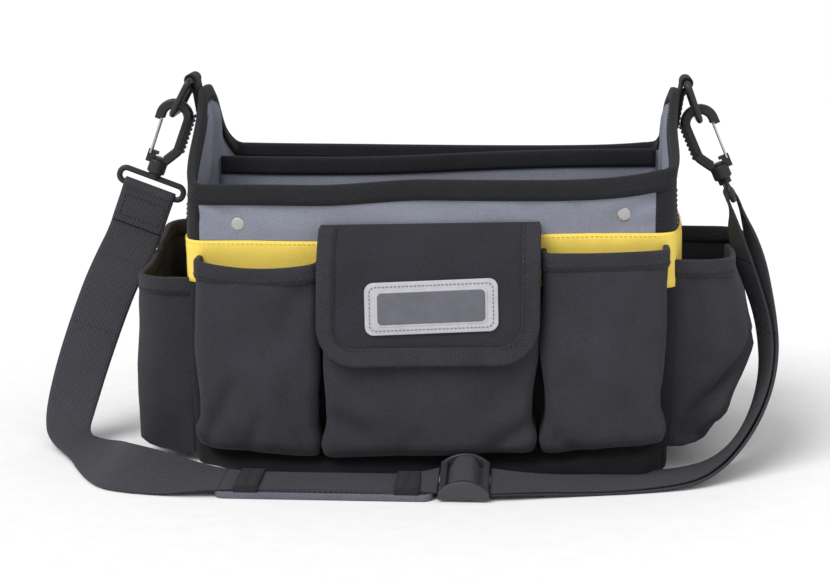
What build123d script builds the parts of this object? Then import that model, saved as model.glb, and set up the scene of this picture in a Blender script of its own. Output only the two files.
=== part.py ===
"""Open-top garden tool bag with a detachable shoulder strap. Millimetres, +Z up, +X to the bag's right.

The origin is the middle of the base's underside. The front, with the flap, faces -Y.
"""

import os
from math import atan, cos, degrees, radians, sin

from build123d import *

# ---- driving dimensions -------------------------------------------------------------------------
WIDTH = 320.0  # over the end panels
DEPTH = 200.0  # over the front and back walls
RIM = 198.0  # height of the front and back walls
PEAK = 250.0  # height of an end panel's peak, before it leans out
PEAK_FLAT = 26.0
LEAN = 8.0  # degrees that the peaks lean out above the rim
WALL = 3.0  # shell fabric, foam and lining together
TAPE = 1.5  # one side of a folded binding tape
TAPE_HIGH = 13.0
BAND = 1.0  # yellow backing behind the pockets
BAND_TOP = 156.0
BASE = 2.0
BOARD = 3.0
LINING = 1.5
POCKET_CLOTH = 2.0
POCKET_TAPE = 1.2

STRAP_WIDE = 38.0
STRAP_THICK = 1.6
WIRE = 2.25  # radius of a ring's wire
RING_HIGH = 27.0  # bar centre to bar centre
RING_WIDE = 36.0
TAB_WIDE = 24.0
RUN = 0.35  # radial clearance of a loop on its bar

half_w, half_d = WIDTH / 2, DEPTH / 2
in_w, in_d = half_w - WALL, half_d - WALL
floor_z = BASE + BOARD + LINING
band_y = half_d + BAND  # outer face of the front and back backing
band_x = half_w + BAND

parts = {}


def block(x0, x1, y0, y1, z0, z1):
    """A box between two corners."""
    return Pos((x0 + x1) / 2, (y0 + y1) / 2, (z0 + z1) / 2) * Box(x1 - x0, y1 - y0, z1 - z0)


def prism_x(points, x0, x1):
    """A (y, z) outline carried from x0 to x1."""
    face = Plane.YZ.offset(x0) * make_face(Polyline(*points, close=True))
    return extrude(face, amount=x1 - x0)


def both(solid):
    """The solid, and its mirror image at the back."""
    return [solid, mirror(solid, Plane.XZ)]


def compound(*solids):
    return Compound(children=[s for group in solids for s in (group if isinstance(group, list) else [group])])


# ---- base, walls and lining ---------------------------------------------------------------------
def build_shell():
    parts["base_panel"] = block(-half_w, half_w, -half_d, half_d, 0, BASE)
    parts["base_board"] = block(-in_w, in_w, -in_d, in_d, BASE, BASE + BOARD)
    parts["floor_lining"] = block(-in_w, in_w, -in_d, in_d, BASE + BOARD, floor_z)

    hole = Rot(90, 0, 0) * Cylinder(RIVET_STEM, 3 * WALL)
    wall = block(-in_w, in_w, -half_d, -in_d, BASE, RIM)
    for x, z in RIVETS:
        wall -= Pos(x, -half_d + WALL / 2, z) * hole
    parts["front_wall"] = wall
    parts["back_wall"] = mirror(wall, Plane.XZ)

    for name, side in (("left", -1), ("right", 1)):
        parts[f"{name}_end_panel"] = on_side(end_panel(), side)
        parts[f"{name}_end_rim_binding"] = on_side(leaned(end_rim_binding()), side)


def on_side(solid, side):
    """A solid made at +X, or its mirror image at -X."""
    return solid if side > 0 else mirror(solid, Plane.YZ)


def leaned(solid):
    """Tips what stands above the rim outwards, about the end panel's outer face."""
    hinge = Axis((half_w, 0, RIM), (0, 1, 0))
    return solid.rotate(hinge, LEAN)


def peak_outline(rise, foot):
    """The (y, z) outline of an end panel above the rim, grown by rise."""
    return [
        (-half_d - rise, foot),
        (-half_d - rise, RIM + rise * 0.7),
        (-PEAK_FLAT / 2 - rise * 0.3, PEAK + rise),
        (PEAK_FLAT / 2 + rise * 0.3, PEAK + rise),
        (half_d + rise, RIM + rise * 0.7),
        (half_d + rise, foot),
    ]


def end_panel():
    lower = block(in_w, half_w, -half_d, half_d, BASE, RIM)
    upper = leaned(prism_x(peak_outline(0, RIM - 2), in_w, half_w))
    return lower + (upper - block(0, in_w, -DEPTH, DEPTH, 0, RIM))


def end_rim_binding():
    """The folded tape over an end panel's two slopes and its peak."""
    slope_in = half_d - 23
    inner = [(-slope_in, RIM), (-10, PEAK - TAPE_HIGH + 1), (10, PEAK - TAPE_HIGH + 1), (slope_in, RIM)]
    band = peak_outline(TAPE, RIM) + inner[::-1]
    tape = prism_x(band, in_w - TAPE, half_w + TAPE)
    return tape - prism_x(peak_outline(0, RIM - 2), in_w, half_w)


# ---- divider and straight bindings --------------------------------------------------------------
DIVIDER = 2.5
DIVIDER_TOP = 198.0
RIM_TAPE_END = half_w - WALL - 2
CORNER_LEG = 9.0
CORNER_TAPE = 1.2


def folded_tape(x_end, y0, y1, top):
    """An upside-down U of tape over the top edge of a wall from y0 to y1."""
    outer = block(-x_end, x_end, y0 - TAPE, y1 + TAPE, top - TAPE_HIGH, top + TAPE)
    return outer - block(-x_end, x_end, y0, y1, 0, top)


def build_trim():
    parts["divider"] = block(-in_w, in_w, -DIVIDER / 2, DIVIDER / 2, floor_z, DIVIDER_TOP)
    parts["divider_binding"] = folded_tape(RIM_TAPE_END, -DIVIDER / 2, DIVIDER / 2, DIVIDER_TOP)
    front = folded_tape(RIM_TAPE_END, -half_d, -in_d, RIM)
    parts["front_rim_binding"] = front
    parts["back_rim_binding"] = mirror(front, Plane.XZ)

    corner = block(
        half_w - CORNER_LEG, half_w + CORNER_TAPE, -half_d - CORNER_TAPE, -half_d + CORNER_LEG,
        BAND_TOP + 1, RIM - TAPE_HIGH - 0.5,
    )
    corner -= block(0, half_w, -half_d, 0, 0, RIM)
    corners = both(corner)
    parts["corner_bindings"] = compound(corners, [mirror(c, Plane.YZ) for c in corners])

    band = block(-half_w, half_w, -band_y, -half_d, 8, BAND_TOP)
    parts["front_backing"] = band
    parts["back_backing"] = mirror(band, Plane.XZ)
    end = block(half_w, band_x, -band_y, band_y, 8, BAND_TOP)
    parts["right_backing"] = end
    parts["left_backing"] = mirror(end, Plane.YZ)


# ---- front pockets ------------------------------------------------------------------------------
# name: (x0, x1, bottom, top, depth at the top, depth at the bottom)
FRONT_POCKETS = {
    "front_left_pocket": (-156, -75, 9, 145, 20, 29),
    "front_middle_pocket": (-69, 71, 9, 146, 20, 30),
    "front_right_pocket": (77, 158, 11, 150, 20, 30),
}
MOUTH_TAPE = 11.0
HEM = 12.0  # height over which a pocket's front turns in to its bottom


def pocket_body(x0, x1, bottom, top, d_top, d_low, grow=0.0):
    """A wedge from the backing out to the pocket's front, grown outwards by grow."""
    y = -band_y
    points = [
        (y, top), (y - d_top - grow, top), (y - d_low - grow, bottom + HEM),
        (y - d_low + 8 - grow, bottom - grow), (y, bottom - grow),
    ]
    solid = prism_x(points, x0 - grow, x1 + grow)
    upright = solid.edges().filter_by(lambda e: abs(e.tangent_at(0.5).Z) > 0.9 and e.center().Y < y - 5)
    return fillet(upright, 7.0 + grow)


def front_pocket(name):
    x0, x1, bottom, top, d_top, d_low = FRONT_POCKETS[name]
    cloth = POCKET_CLOTH
    outer = pocket_body(x0, x1, bottom, top, d_top, d_low)
    above = top + 5
    steep = (d_low - d_top) / (top - bottom - HEM) * 5
    hollow = pocket_body(x0, x1, bottom, above, d_top - steep, d_low, grow=-cloth)
    shell = outer - hollow
    mouth_low = top - MOUTH_TAPE
    wide = pocket_body(x0, x1, bottom, top + POCKET_TAPE, d_top, d_low, grow=POCKET_TAPE)
    narrow = pocket_body(x0, x1, bottom, above, d_top - steep, d_low, grow=-cloth - POCKET_TAPE)
    zone = block(x0 - 5, x1 + 5, -band_y - d_low - 9, -band_y, mouth_low, top + POCKET_TAPE)
    return shell, (wide & zone) - narrow - outer


# ---- end and back pockets -----------------------------------------------------------------------
# Each level: its height, and how far the pocket reaches out at each of REACH_Y. The right pocket's
# mouth is pressed in where the strap hangs over it.
REACH_Y = (-93.0, -40.0, 14.0, 38.0, 93.0)
END_POCKETS = {
    "left_end_pocket": (-1, [(9.0, [45.0] * 5), (126.0, [42.0] * 5)]),
    "right_end_pocket": (
        1,
        [(14.0, [38.0] * 5), (80.0, [57.0, 64, 64, 64, 59]), (147.0, [42.0, 45, 45, 65, 65])],
    ),
}
END_POCKET_ROUND = 24.0
BACK_POCKET = {"half": 150.0, "bottom": 9.0, "top": 140.0, "deep": 13.0, "seams": (-50.0, 50.0)}


def reach_at(levels, z):
    """The five reaches at height z, carried on past the last level."""
    (z0, low), (z1, high) = next(((a, b) for a, b in zip(levels, levels[1:]) if z <= b[0]), levels[-2:])
    return [r0 + (r1 - r0) * (z - z0) / (z1 - z0) for r0, r1 in zip(low, high)]


def end_outline(levels, z, grow):
    """Plan outline of an end pocket at height z, flat against the backing, grown outwards by grow."""
    outer = [(band_x + reach + grow, y) for reach, y in zip(reach_at(levels, z), REACH_Y)]
    front, back = REACH_Y[0] - grow, REACH_Y[-1] + grow
    points = [(band_x, front), (outer[0][0], front), *outer[1:-1], (outer[-1][0], back), (band_x, back)]
    sheet = make_face(Polyline(*points, close=True))
    corners = [v for v in sheet.vertices() if v.X > band_x + 1 and (v.Y < front + 1 or v.Y > back - 1)]
    return Pos(0, 0, z) * fillet(corners, END_POCKET_ROUND + grow)


def end_pocket_body(levels, grow, z0, z1):
    """The body of an end pocket between heights z0 and z1."""
    heights = [z0, *(z for z, _ in levels[1:-1] if z0 < z < z1), z1]
    return loft([end_outline(levels, z, grow) for z in heights], ruled=True)


def end_pocket(name):
    side, levels = END_POCKETS[name]
    bottom, top = levels[0][0], levels[-1][0]
    cloth = POCKET_CLOTH
    outer = end_pocket_body(levels, 0, bottom, top)
    shell = outer - end_pocket_body(levels, -cloth, bottom + cloth, top + 5)
    tape = end_pocket_body(levels, POCKET_TAPE, top - MOUTH_TAPE, top + POCKET_TAPE)
    tape = tape - outer - end_pocket_body(levels, -cloth - POCKET_TAPE, top - 20, top + 5)
    return on_side(shell, side), on_side(tape, side)


def back_pocket():
    """A shallow sleeve across the back, sewn down along two seams."""
    half, bottom, top, deep = (BACK_POCKET[k] for k in ("half", "bottom", "top", "deep"))
    cloth = POCKET_CLOTH
    front = band_y + deep
    shell = block(-half, half, band_y, front, bottom, top)
    edges = [-half, *BACK_POCKET["seams"], half]
    for x0, x1 in zip(edges, edges[1:]):
        shell -= block(x0 + cloth, x1 - cloth, band_y, front - cloth, bottom + cloth, top)
    tape = block(-half, half, front, front + POCKET_TAPE, top - MOUTH_TAPE, top)
    tape += block(-half, half, front - cloth, front + POCKET_TAPE, top, top + POCKET_TAPE)
    return shell, tape


def build_pockets():
    for name in FRONT_POCKETS:
        parts[name], parts[f"{name}_binding"] = front_pocket(name)
    for name in END_POCKETS:
        parts[name], parts[f"{name}_binding"] = end_pocket(name)
    parts["back_pocket"], parts["back_pocket_binding"] = back_pocket()


# ---- flap, label and closure --------------------------------------------------------------------
FLAP_HALF = 73.0
FLAP_TOP = 171.0
FLAP_LOW = 86.0
FLAP_ROUND = 26.0
FLAP_X = 1.0  # the flap is sewn on this far off centre, over the middle pocket
HINGE_Y = -half_d - 2.3
FLAP_KNEE = (-125.0, 149.0)
FLAP_FOOT_Y = -131.6
FLAP_CLOTH = 2.4
FLAP_TAPE = 1.0
LABEL = (88.0, 35.0, 1.6)
INLAY = (70.0, 20.0, 0.8)
CLOSURE_Z = 112.0


def flap_profile(grow):
    """The (y, z) section of the flap, grown by grow on both faces: down over the pocket's mouth."""
    knee_y, knee_z = FLAP_KNEE
    inner, outer = grow, FLAP_CLOTH + grow
    return [
        (HINGE_Y, FLAP_TOP - 3.0 - inner), (knee_y + inner, knee_z - 1.2 - inner),
        (FLAP_FOOT_Y + inner, FLAP_LOW - 5), (FLAP_FOOT_Y - outer, FLAP_LOW - 5),
        (knee_y - outer, knee_z + 0.6 + grow), (HINGE_Y - 2, FLAP_TOP + grow), (HINGE_Y, FLAP_TOP + grow),
    ]


def flap_front(grow):
    """The flap's outline seen from the front, square above and round below, as a deep block."""
    x0, x1 = FLAP_X - FLAP_HALF - grow, FLAP_X + FLAP_HALF + grow
    low = FLAP_LOW - grow
    sheet = make_face(Polyline((x0, 200), (x0, low), (x1, low), (x1, 200), close=True))
    sheet = fillet(sheet.vertices().sort_by(Axis.Y)[:2], FLAP_ROUND + grow)
    return extrude(Plane.XZ * sheet, amount=160)


def on_flap(solid, x, z):
    """Stands a plate made flat on XY on the flap's outer face, at height z."""
    knee_y, knee_z = FLAP_KNEE
    share = (knee_z - z) / (knee_z - FLAP_LOW + 5)
    y = knee_y + (FLAP_FOOT_Y - knee_y) * share - FLAP_CLOTH - 0.05
    tilt = (knee_y - FLAP_FOOT_Y) / (knee_z - FLAP_LOW + 5)
    return Pos(x, y, z) * Rot(90 - degrees(atan(tilt)), 0, 0) * solid


def plate(size, corner):
    """A round-cornered plate lying on XY, from z = 0 up."""
    wide, high, thick = size
    return extrude(RectangleRounded(wide, high, corner), amount=thick)


def build_flap():
    cloth = prism_x(flap_profile(0), -90, 90) & flap_front(0)
    parts["flap"] = cloth
    tape = prism_x(flap_profile(FLAP_TAPE), -90, 90) & (flap_front(FLAP_TAPE) - flap_front(-MOUTH_TAPE))
    tape -= block(-90, 90, HINGE_Y - 3, 0, 0, 250)
    parts["flap_binding"] = tape - cloth
    parts["flap_hem"] = block(
        FLAP_X - FLAP_HALF, FLAP_X + FLAP_HALF, -half_d - 2, -half_d, BAND_TOP + 2, FLAP_TOP,
    )
    parts["label"] = on_flap(plate(LABEL, 6), FLAP_X + 2, 121)
    parts["label_inlay"] = on_flap(Pos(0, 0, LABEL[2]) * plate(INLAY, 2), FLAP_X + 2, 121)
    strip = (60.0, 18.0, 0.8)
    fluff = plate(strip, 2)
    parts["closure_hook_strip"] = on_flap(Pos(0, 0, -FLAP_CLOTH - strip[2] - 0.2) * fluff, FLAP_X, CLOSURE_Z)
    _, _, bottom, top, d_top, d_low = FRONT_POCKETS["front_middle_pocket"]
    slope = (d_low - d_top) / (top - bottom - HEM)
    y = -band_y - d_top - slope * (top - CLOSURE_Z)
    lean = degrees(atan(slope))
    parts["closure_loop_strip"] = Pos(FLAP_X, y - 0.02, CLOSURE_Z) * Rot(90 - lean, 0, 0) * fluff


# ---- rivets -------------------------------------------------------------------------------------
RIVETS = ((-129.0, 168.0), (129.0, 177.0))  # x and z of each, the same on the front and the back
RIVET_STEM = 1.6


def build_rivets():
    """Domed caps outside, each with a stem through the wall, and flat caps inside."""
    dome = Sphere(7.0) & (Pos(0, 0, 7.0) * Box(20, 20, 5.2))
    dome = Pos(0, 0, -4.4) * dome
    cap = dome + Pos(0, 0, -WALL / 2) * Cylinder(RIVET_STEM, WALL)
    back = Cylinder(4.2, 1.2)
    caps, backs = [], []
    for x, z in RIVETS:
        caps += both(Pos(x, -half_d, z) * Rot(90, 0, 0) * cap)
        backs += both(Pos(x, -in_d + 0.6, z) * Rot(90, 0, 0) * back)
    parts["rivets"] = compound(caps)
    parts["rivet_back_caps"] = compound(backs)


# ---- tabs, rings and snap hooks -----------------------------------------------------------------
# side: (ring's tilt outwards, hook's tilt outwards, turn of the strap bar about the hook), in degrees
HOOK_SETS = {"left": (-1, 28.0, 20.0, 0.0), "right": (1, 20.0, 24.0, 90.0)}
TAB_CLOTH = 2.0
tab_out = half_w + TAPE + WIRE + RUN + TAB_CLOTH
tab_up = 59.0  # height of the ring's upper bar above the rim, before the lean
BODY = 7.0  # width and thickness of a hook's body
BOSS = 6.5
PIN = 2.0
BAR_WIRE = 2.1
GATE_WIRE = 0.8
GATE_PIVOT = (7.6, -33.0)
GATE_TIP = (8.0, -7.4)  # where the gate's wire meets the nose
BOSS_AT = -41.5  # height of the swivel boss's middle, from the ring's lower bar
BAR_TOP, BAR_LOW = -50.0, -60.0  # the strap bar frame, along the hook from the ring's lower bar


def tab():
    """A webbing loop round the ring's upper bar, sewn to the outside of the peak."""
    loop = Pos(tab_out, 0, RIM + tab_up) * Rot(90, 0, 0) * Cylinder(WIRE + RUN + TAB_CLOTH, TAB_WIDE)
    x = half_w + TAPE
    loop += block(x, x + TAB_CLOTH, -TAB_WIDE / 2, TAB_WIDE / 2, RIM + tab_up - 34, RIM + tab_up)
    return loop - Pos(tab_out, 0, RIM + tab_up) * Rot(90, 0, 0) * Cylinder(WIRE + RUN, 2 * TAB_WIDE)


def tab_axis():
    """Where the tab's loop stands once the peak has leaned out: (x, z)."""
    a = radians(LEAN)
    out, up = tab_out - half_w, tab_up
    return half_w + out * cos(a) + up * sin(a), RIM + up * cos(a) - out * sin(a)


def ring(tilt):
    """A rectangular wire ring hanging from the tab's loop, tipped outwards."""
    frame = Plane.YZ * RectangleRounded(RING_WIDE, RING_HIGH, 4.5)
    path = frame.faces()[0].outer_wire()
    start = Plane(origin=path @ 0.1, z_dir=path % 0.1)
    wire = sweep(start * Circle(WIRE), path=path)
    x, z = tab_axis()
    return Pos(x, 0, z) * Rot(0, -tilt, 0) * Pos(0, 0, -RING_HIGH / 2) * wire


def hook_place(ring_tilt, hook_tilt):
    """The frame of a hook: at the ring's lower bar, local x outwards and local z up along the hook."""
    x, z = tab_axis()
    a = radians(ring_tilt)
    return Pos(x + RING_HIGH * sin(a), 0, z - RING_HIGH * cos(a)) * Rot(0, -hook_tilt, 0)


def bent_bar(points, radius):
    """A flat bar of the hook's width along a (x, z) centre line, as a moulding of the hook's thickness."""
    line = FilletPolyline(*points, radius=radius)
    return extrude(Plane.XZ * trace(line, line_width=BODY), amount=BODY / 2, both=True)


def hook_body():
    """The moulded hook: spine, round top and nose, with a boss for the swivel and an ear for the gate."""
    top = WIRE + RUN + BODY / 2
    spine = bent_bar(
        [(-1.5, -40), (-10.5, -26), (-10.5, top), (9.5, top), (9.5, -8.5)], (8.0, 9.8, 9.8),
    )
    rounded = spine.edges().filter_by(lambda e: abs(abs(e.center().Y) - BODY / 2) < 0.01)
    spine = fillet(rounded, 1.8)
    boss = Pos(0, 0, BOSS_AT) * Cylinder(BOSS, 10.0)
    boss = fillet(boss.edges().filter_by(GeomType.CIRCLE), 1.2)
    ear = block(2.0, 9.6, -1.7, 1.7, -40.0, -31.0)
    body = spine + boss + ear
    notch = block(5.0, 9.0, -4, 4, -10.0, -6.4)  # the nose's slot for the gate's tip
    head_room = Pos(0, 0, -34.9) * Cylinder(4.1, 3.5)  # for the swivel stem's head
    body -= notch + head_room
    body -= Pos(0, 0, BOSS_AT) * Cylinder(PIN + 0.1, 40)
    x, z = GATE_PIVOT
    return body - Pos(x, 0, z) * Rot(90, 0, 0) * Cylinder(GATE_WIRE + 0.1, 20)


def rod(a, b, radius):
    """A round rod from a to b, with a ball at its far end."""
    a, b = Vector(*a), Vector(*b)
    plane = Plane(origin=a, z_dir=b - a)
    return extrude(plane * Circle(radius), amount=(b - a).length) + Pos(b) * Sphere(radius)


def gate():
    """A wire loop that snaps shut under the hook's nose: a pivot through the ear and two legs."""
    x, z = GATE_PIVOT
    tip_x, tip_z = GATE_TIP
    near, far = 2.9, 2.2  # half widths at the pivot and at the tip
    corners = [(x, near, z), (tip_x, far, tip_z), (tip_x, -far, tip_z), (x, -near, z), (x, near, z)]
    wire = rod(corners[0], corners[1], GATE_WIRE)
    for start, end in zip(corners[1:], corners[2:]):
        wire += rod(start, end, GATE_WIRE)
    return wire


def strap_bar(turn):
    """The swivelling frame that the strap is sewn to, with its stem up through the hook's boss."""
    high = BAR_TOP - BAR_LOW
    frame = Plane.XZ * RectangleRounded(48.0, high, 4.6)
    path = frame.faces()[0].outer_wire()
    start = Plane(origin=path @ 0.1, z_dir=path % 0.1)
    wire = Pos(0, 0, BAR_LOW + high / 2) * sweep(start * Circle(BAR_WIRE), path=path)
    collar = Pos(0, 0, -48.6) * Cylinder(4.6, 3.4)
    stem = Pos(0, 0, -43) * Cylinder(PIN, 13.0)
    head = Pos(0, 0, -35.6) * Cylinder(3.8, 1.8)
    return Rot(0, 0, turn) * (wire + collar + stem + head)


def sewn_end(tail):
    """The strap's left end: folded round the bar and sewn to itself, tail long."""
    r_in, r_out = BAR_WIRE + RUN, BAR_WIRE + RUN + STRAP_THICK
    round_bar = Pos(0, 0, BAR_LOW) * Rot(0, 90, 0) * Cylinder(r_out, STRAP_WIDE)
    double = block(-STRAP_WIDE / 2, STRAP_WIDE / 2, -STRAP_THICK, STRAP_THICK, BAR_LOW - tail, BAR_LOW - 2)
    return round_bar + double - Pos(0, 0, BAR_LOW) * Rot(0, 90, 0) * Cylinder(r_in, 60)


def strap_bend(drop):
    """The strap's turn round the right bar, with both runs going on down."""
    r_in, r_out = BAR_WIRE + RUN, BAR_WIRE + RUN + STRAP_THICK
    turn = Pos(0, 0, BAR_LOW) * Rot(90, 0, 0) * Cylinder(r_out, STRAP_WIDE)
    half = STRAP_WIDE / 2
    turn += block(-r_out, r_out, -half, half, BAR_LOW - drop, BAR_LOW)
    hollow = Pos(0, 0, BAR_LOW) * Rot(90, 0, 0) * Cylinder(r_in, 60)
    return turn - hollow - block(-r_in, r_in, -30, 30, BAR_LOW - drop - 1, BAR_LOW)


def build_hooks():
    for name, (side, ring_tilt, hook_tilt, turn) in HOOK_SETS.items():
        place = hook_place(ring_tilt, hook_tilt)
        parts[f"{name}_tab"] = on_side(leaned(tab()), side)
        parts[f"{name}_ring"] = on_side(ring(ring_tilt), side)
        parts[f"{name}_hook"] = on_side(place * hook_body(), side)
        parts[f"{name}_gate"] = on_side(place * gate(), side)
        parts[f"{name}_strap_bar"] = on_side(place * strap_bar(turn), side)
        end = sewn_end(28.0) if name == "left" else strap_bend(6.0)
        parts["strap_left_end" if name == "left" else "strap_right_bend"] = on_side(place * end, side)


# ---- shoulder strap -----------------------------------------------------------------------------
# Each stop: the middle of the strap, and the direction across it.
LEFT_RUN = [
    ((-217.2, 0.0, 148.6), (0.94, 0.0, -0.342)),
    ((-220.2, 0.0, 140.4), (0.94, 0.0, -0.342)),
    ((-227.5, -9.0, 125.0), (0.94, -0.04, -0.34)),
    ((-236.5, -19.0, 103.5), (0.94, -0.06, -0.33)),
    ((-250.5, -32.5, 61.0), (0.95, -0.12, -0.26)),
    ((-259.0, -43.0, 28.0), (0.95, -0.25, -0.18)),
    ((-261.5, -52.0, 10.5), (0.9, -0.42, -0.05)),
    ((-250.0, -68.0, 6.6), (0.99, 0.0, 0.05)),
    ((-233.3, -86.6, 6.3), (0.88, 0.44, 0.17)),
    ((-223.0, -113.3, 8.9), (0.79, 0.46, 0.41)),
    ((-212.3, -140.7, 12.4), (0.53, 0.61, 0.59)),
    ((-201.4, -153.0, 13.4), (0.35, 0.68, 0.64)),
    ((-170.5, -157.4, 10.1), (0.13, 0.87, 0.47)),
    ((-148.2, -157.0, 7.8), (0.1, 0.97, 0.15)),
    ((-125.0, -155.0, 6.1), (0.0, 1.0, 0.02)),
    ((-90.0, -153.2, 5.7), (0.0, 1.0, 0.0)),
    ((-45.0, -152.8, 5.7), (0.0, 1.0, 0.0)),
    ((-6.0, -153.0, 5.8), (0.0, 1.0, 0.0)),
    ((8.9, -153.4, 8.1), (0.0, 0.988, 0.156)),
]
INNER_RUN = [
    ((43.0, -153.5, 8.2), (0.0, 0.988, 0.156)),
    ((51.0, -153.2, 7.7), (0.0, 0.995, 0.1)),
    ((76.0, -146.5, 5.4), (0.0, 1.0, 0.0)),
    ((104.0, -139.0, 3.1), (0.0, 1.0, 0.0)),
    ((141.0, -131.0, 3.3), (0.0, 1.0, 0.0)),
    ((176.0, -119.0, 5.0), (0.0, 1.0, 0.0)),
    ((195.0, -106.0, 10.5), (-0.04, 1.0, 0.0)),
    ((210.2, -92.5, 22.8), (-0.08, 1.0, 0.0)),
    ((222.0, -77.5, 40.0), (-0.14, 1.0, 0.0)),
    ((229.3, -62.0, 60.0), (-0.18, 1.0, 0.0)),
    ((231.0, -50.0, 80.0), (-0.18, 1.0, 0.0)),
    ((229.3, -39.0, 97.0), (-0.17, 1.0, 0.0)),
    ((224.8, -29.0, 113.0), (-0.14, 1.0, 0.0)),
    ((218.5, -18.0, 131.0), (-0.12, 1.0, 0.0)),
    ((213.0, -7.0, 149.0), (-0.05, 1.0, 0.0)),
    ((210.2, 0.0, 162.1), (0.0, 1.0, 0.0)),
    ((207.8, 0.0, 167.6), (0.0, 1.0, 0.0)),
]
OUTER_RUN = [
    ((43.0, -153.2, 6.4), (0.0, 0.988, 0.156)),
    ((51.0, -152.9, 5.8), (0.0, 0.995, 0.1)),
    ((76.0, -146.5, 3.1), (0.0, 1.0, 0.0)),
    ((104.0, -139.5, 1.1), (0.0, 1.0, 0.0)),
    ((141.5, -131.5, 1.1), (0.0, 1.0, 0.0)),
    ((177.0, -120.5, 2.7), (0.0, 1.0, 0.0)),
    ((196.6, -107.5, 8.2), (-0.04, 1.0, 0.0)),
    ((212.4, -94.2, 20.7), (-0.08, 1.0, 0.0)),
    ((224.6, -78.5, 38.0), (-0.14, 1.0, 0.0)),
    ((232.0, -63.0, 58.5), (-0.18, 1.0, 0.0)),
    ((233.8, -50.0, 79.5), (-0.18, 1.0, 0.0)),
    ((232.3, -39.0, 97.5), (-0.17, 1.0, 0.0)),
    ((229.3, -28.0, 115.0), (-0.14, 1.0, 0.0)),
    ((225.8, -16.5, 134.5), (-0.12, 1.0, 0.0)),
    ((221.0, -7.0, 152.0), (-0.05, 1.0, 0.0)),
    ((216.2, 0.0, 164.8), (0.0, 1.0, 0.0)),
    ((213.8, 0.0, 170.2), (0.0, 1.0, 0.0)),
]


def ribbon(stops):
    """A flat strap through the stops, each (middle, direction across)."""
    points = [Vector(*p) for p, _ in stops]
    sections = []
    for i, (_, across) in enumerate(stops):
        along = (points[min(i + 1, len(points) - 1)] - points[max(i - 1, 0)]).normalized()
        side = Vector(*across)
        side = (side - along * side.dot(along)).normalized()
        plane = Plane(origin=points[i], x_dir=side, z_dir=along)
        sections.append((plane * Rectangle(STRAP_WIDE, STRAP_THICK)).face().outer_wire())
    return Solid.make_loft(sections, ruled=True)


def build_strap():
    parts["strap_left_run"] = ribbon(LEFT_RUN)
    parts["strap_inner_run"] = ribbon(INNER_RUN)
    parts["strap_outer_run"] = ribbon(OUTER_RUN)


# ---- slider and shoulder pad --------------------------------------------------------------------
SLIDER_AT = (26.0, -153.0, 5.2)
SLIDER_TIP = 9.0  # its back edge is up on the strap by this many degrees
SLIDER_LONG = 33.0
SLIDER_HALF = 20.0  # half the clear width between the side rails
RAIL = 3.0
MID_BAR = (2.2, 6.2)  # radius, height
LEVEL_A, LEVEL_B = 3.0, 1.2  # the upper and lower strap's heights in the slider


def on_slider(solid):
    return Pos(*SLIDER_AT) * Rot(SLIDER_TIP, 0, 0) * solid


def slider_frame():
    """Two arched side rails, joined by a square bar at each end."""
    half, top, low = SLIDER_LONG / 2, 12.8, 5.0
    edge = Polyline((-half, low), (-half, 0.0), (half, 0.0), (half, low))
    arch = ThreePointArc((half, low), (0, top), (-half, low))
    face = Plane.XZ * make_face([*edge.edges(), arch])
    rail = extrude(face, amount=RAIL / 2, both=True)
    rail = fillet(rail.edges().filter_by(GeomType.CIRCLE), 0.8)
    y = SLIDER_HALF + RAIL / 2
    frame = Pos(0, y, 0) * rail + Pos(0, -y, 0) * rail
    for x in (-1, 1):
        bar = block(-2.3, 2.3, -y, y, 4.1, 7.3)
        bar = fillet(bar.edges().filter_by(Axis.Y), 1.2)
        frame += Pos(x * (half - 2.6), 0, 0) * bar
    return frame


def slider_bar():
    radius, z = MID_BAR
    return Pos(0, 0, z) * Rot(90, 0, 0) * Cylinder(radius, 2 * SLIDER_HALF)


def webbing_along(points, radii):
    """A strap's width of webbing along a (x, z) line."""
    line = FilletPolyline(*points, radius=radii)
    return extrude(Plane.XZ * trace(line, line_width=STRAP_THICK), amount=STRAP_WIDE / 2, both=True)


def build_slider():
    parts["slider_frame"] = on_slider(slider_frame())
    parts["slider_bar"] = on_slider(slider_bar())
    end = SLIDER_LONG / 2 - 0.2
    crest = 11.4
    hump = webbing_along(
        [(-end, LEVEL_A), (-9.2, LEVEL_A), (-5.2, crest), (5.2, crest), (9.2, LEVEL_A), (end, LEVEL_A)],
        (2.6, 3.4, 3.4, 2.6),
    )
    parts["strap_slider_bend"] = on_slider(hump)
    radius, z = MID_BAR
    r_in, r_out = radius + 0.25, radius + 0.25 + STRAP_THICK
    tail = webbing_along([(0.0, 2.95), (4.5, 2.6), (8.8, LEVEL_B), (end, LEVEL_B)], (2.0, 2.0))
    loop = Pos(0, 0, z) * Rot(90, 0, 0) * Cylinder(r_out, STRAP_WIDE) + tail
    loop -= Pos(0, 0, z) * Rot(90, 0, 0) * Cylinder(r_in, STRAP_WIDE + 2)
    parts["strap_sewn_end"] = on_slider(loop)


PAD = (-137.0, 6.0, -176.5, -130.5, 4.4)
KEEPERS = ((-118.0, -106.0), (-21.0, -9.0))


def build_pad():
    x0, x1, y0, y1, thick = PAD
    pad = plate((x1 - x0, y1 - y0, thick), 7)
    pad = chamfer(pad.faces().sort_by(Axis.Z)[-1].edges(), 1.4)
    parts["shoulder_pad"] = Pos((x0 + x1) / 2, (y0 + y1) / 2, 0) * pad
    loops = []
    for a, b in KEEPERS:
        loop = block(a, b, y0 + 1.0, y1 - 1.0, thick, thick + 4.0)
        loops.append(loop - block(a, b, y0 + 2.2, y1 - 2.2, thick, thick + 2.8))
    parts["pad_keepers"] = compound(loops)


build_shell()
build_trim()
build_pockets()
build_flap()
build_rivets()
build_hooks()
build_strap()
build_slider()
build_pad()

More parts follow.
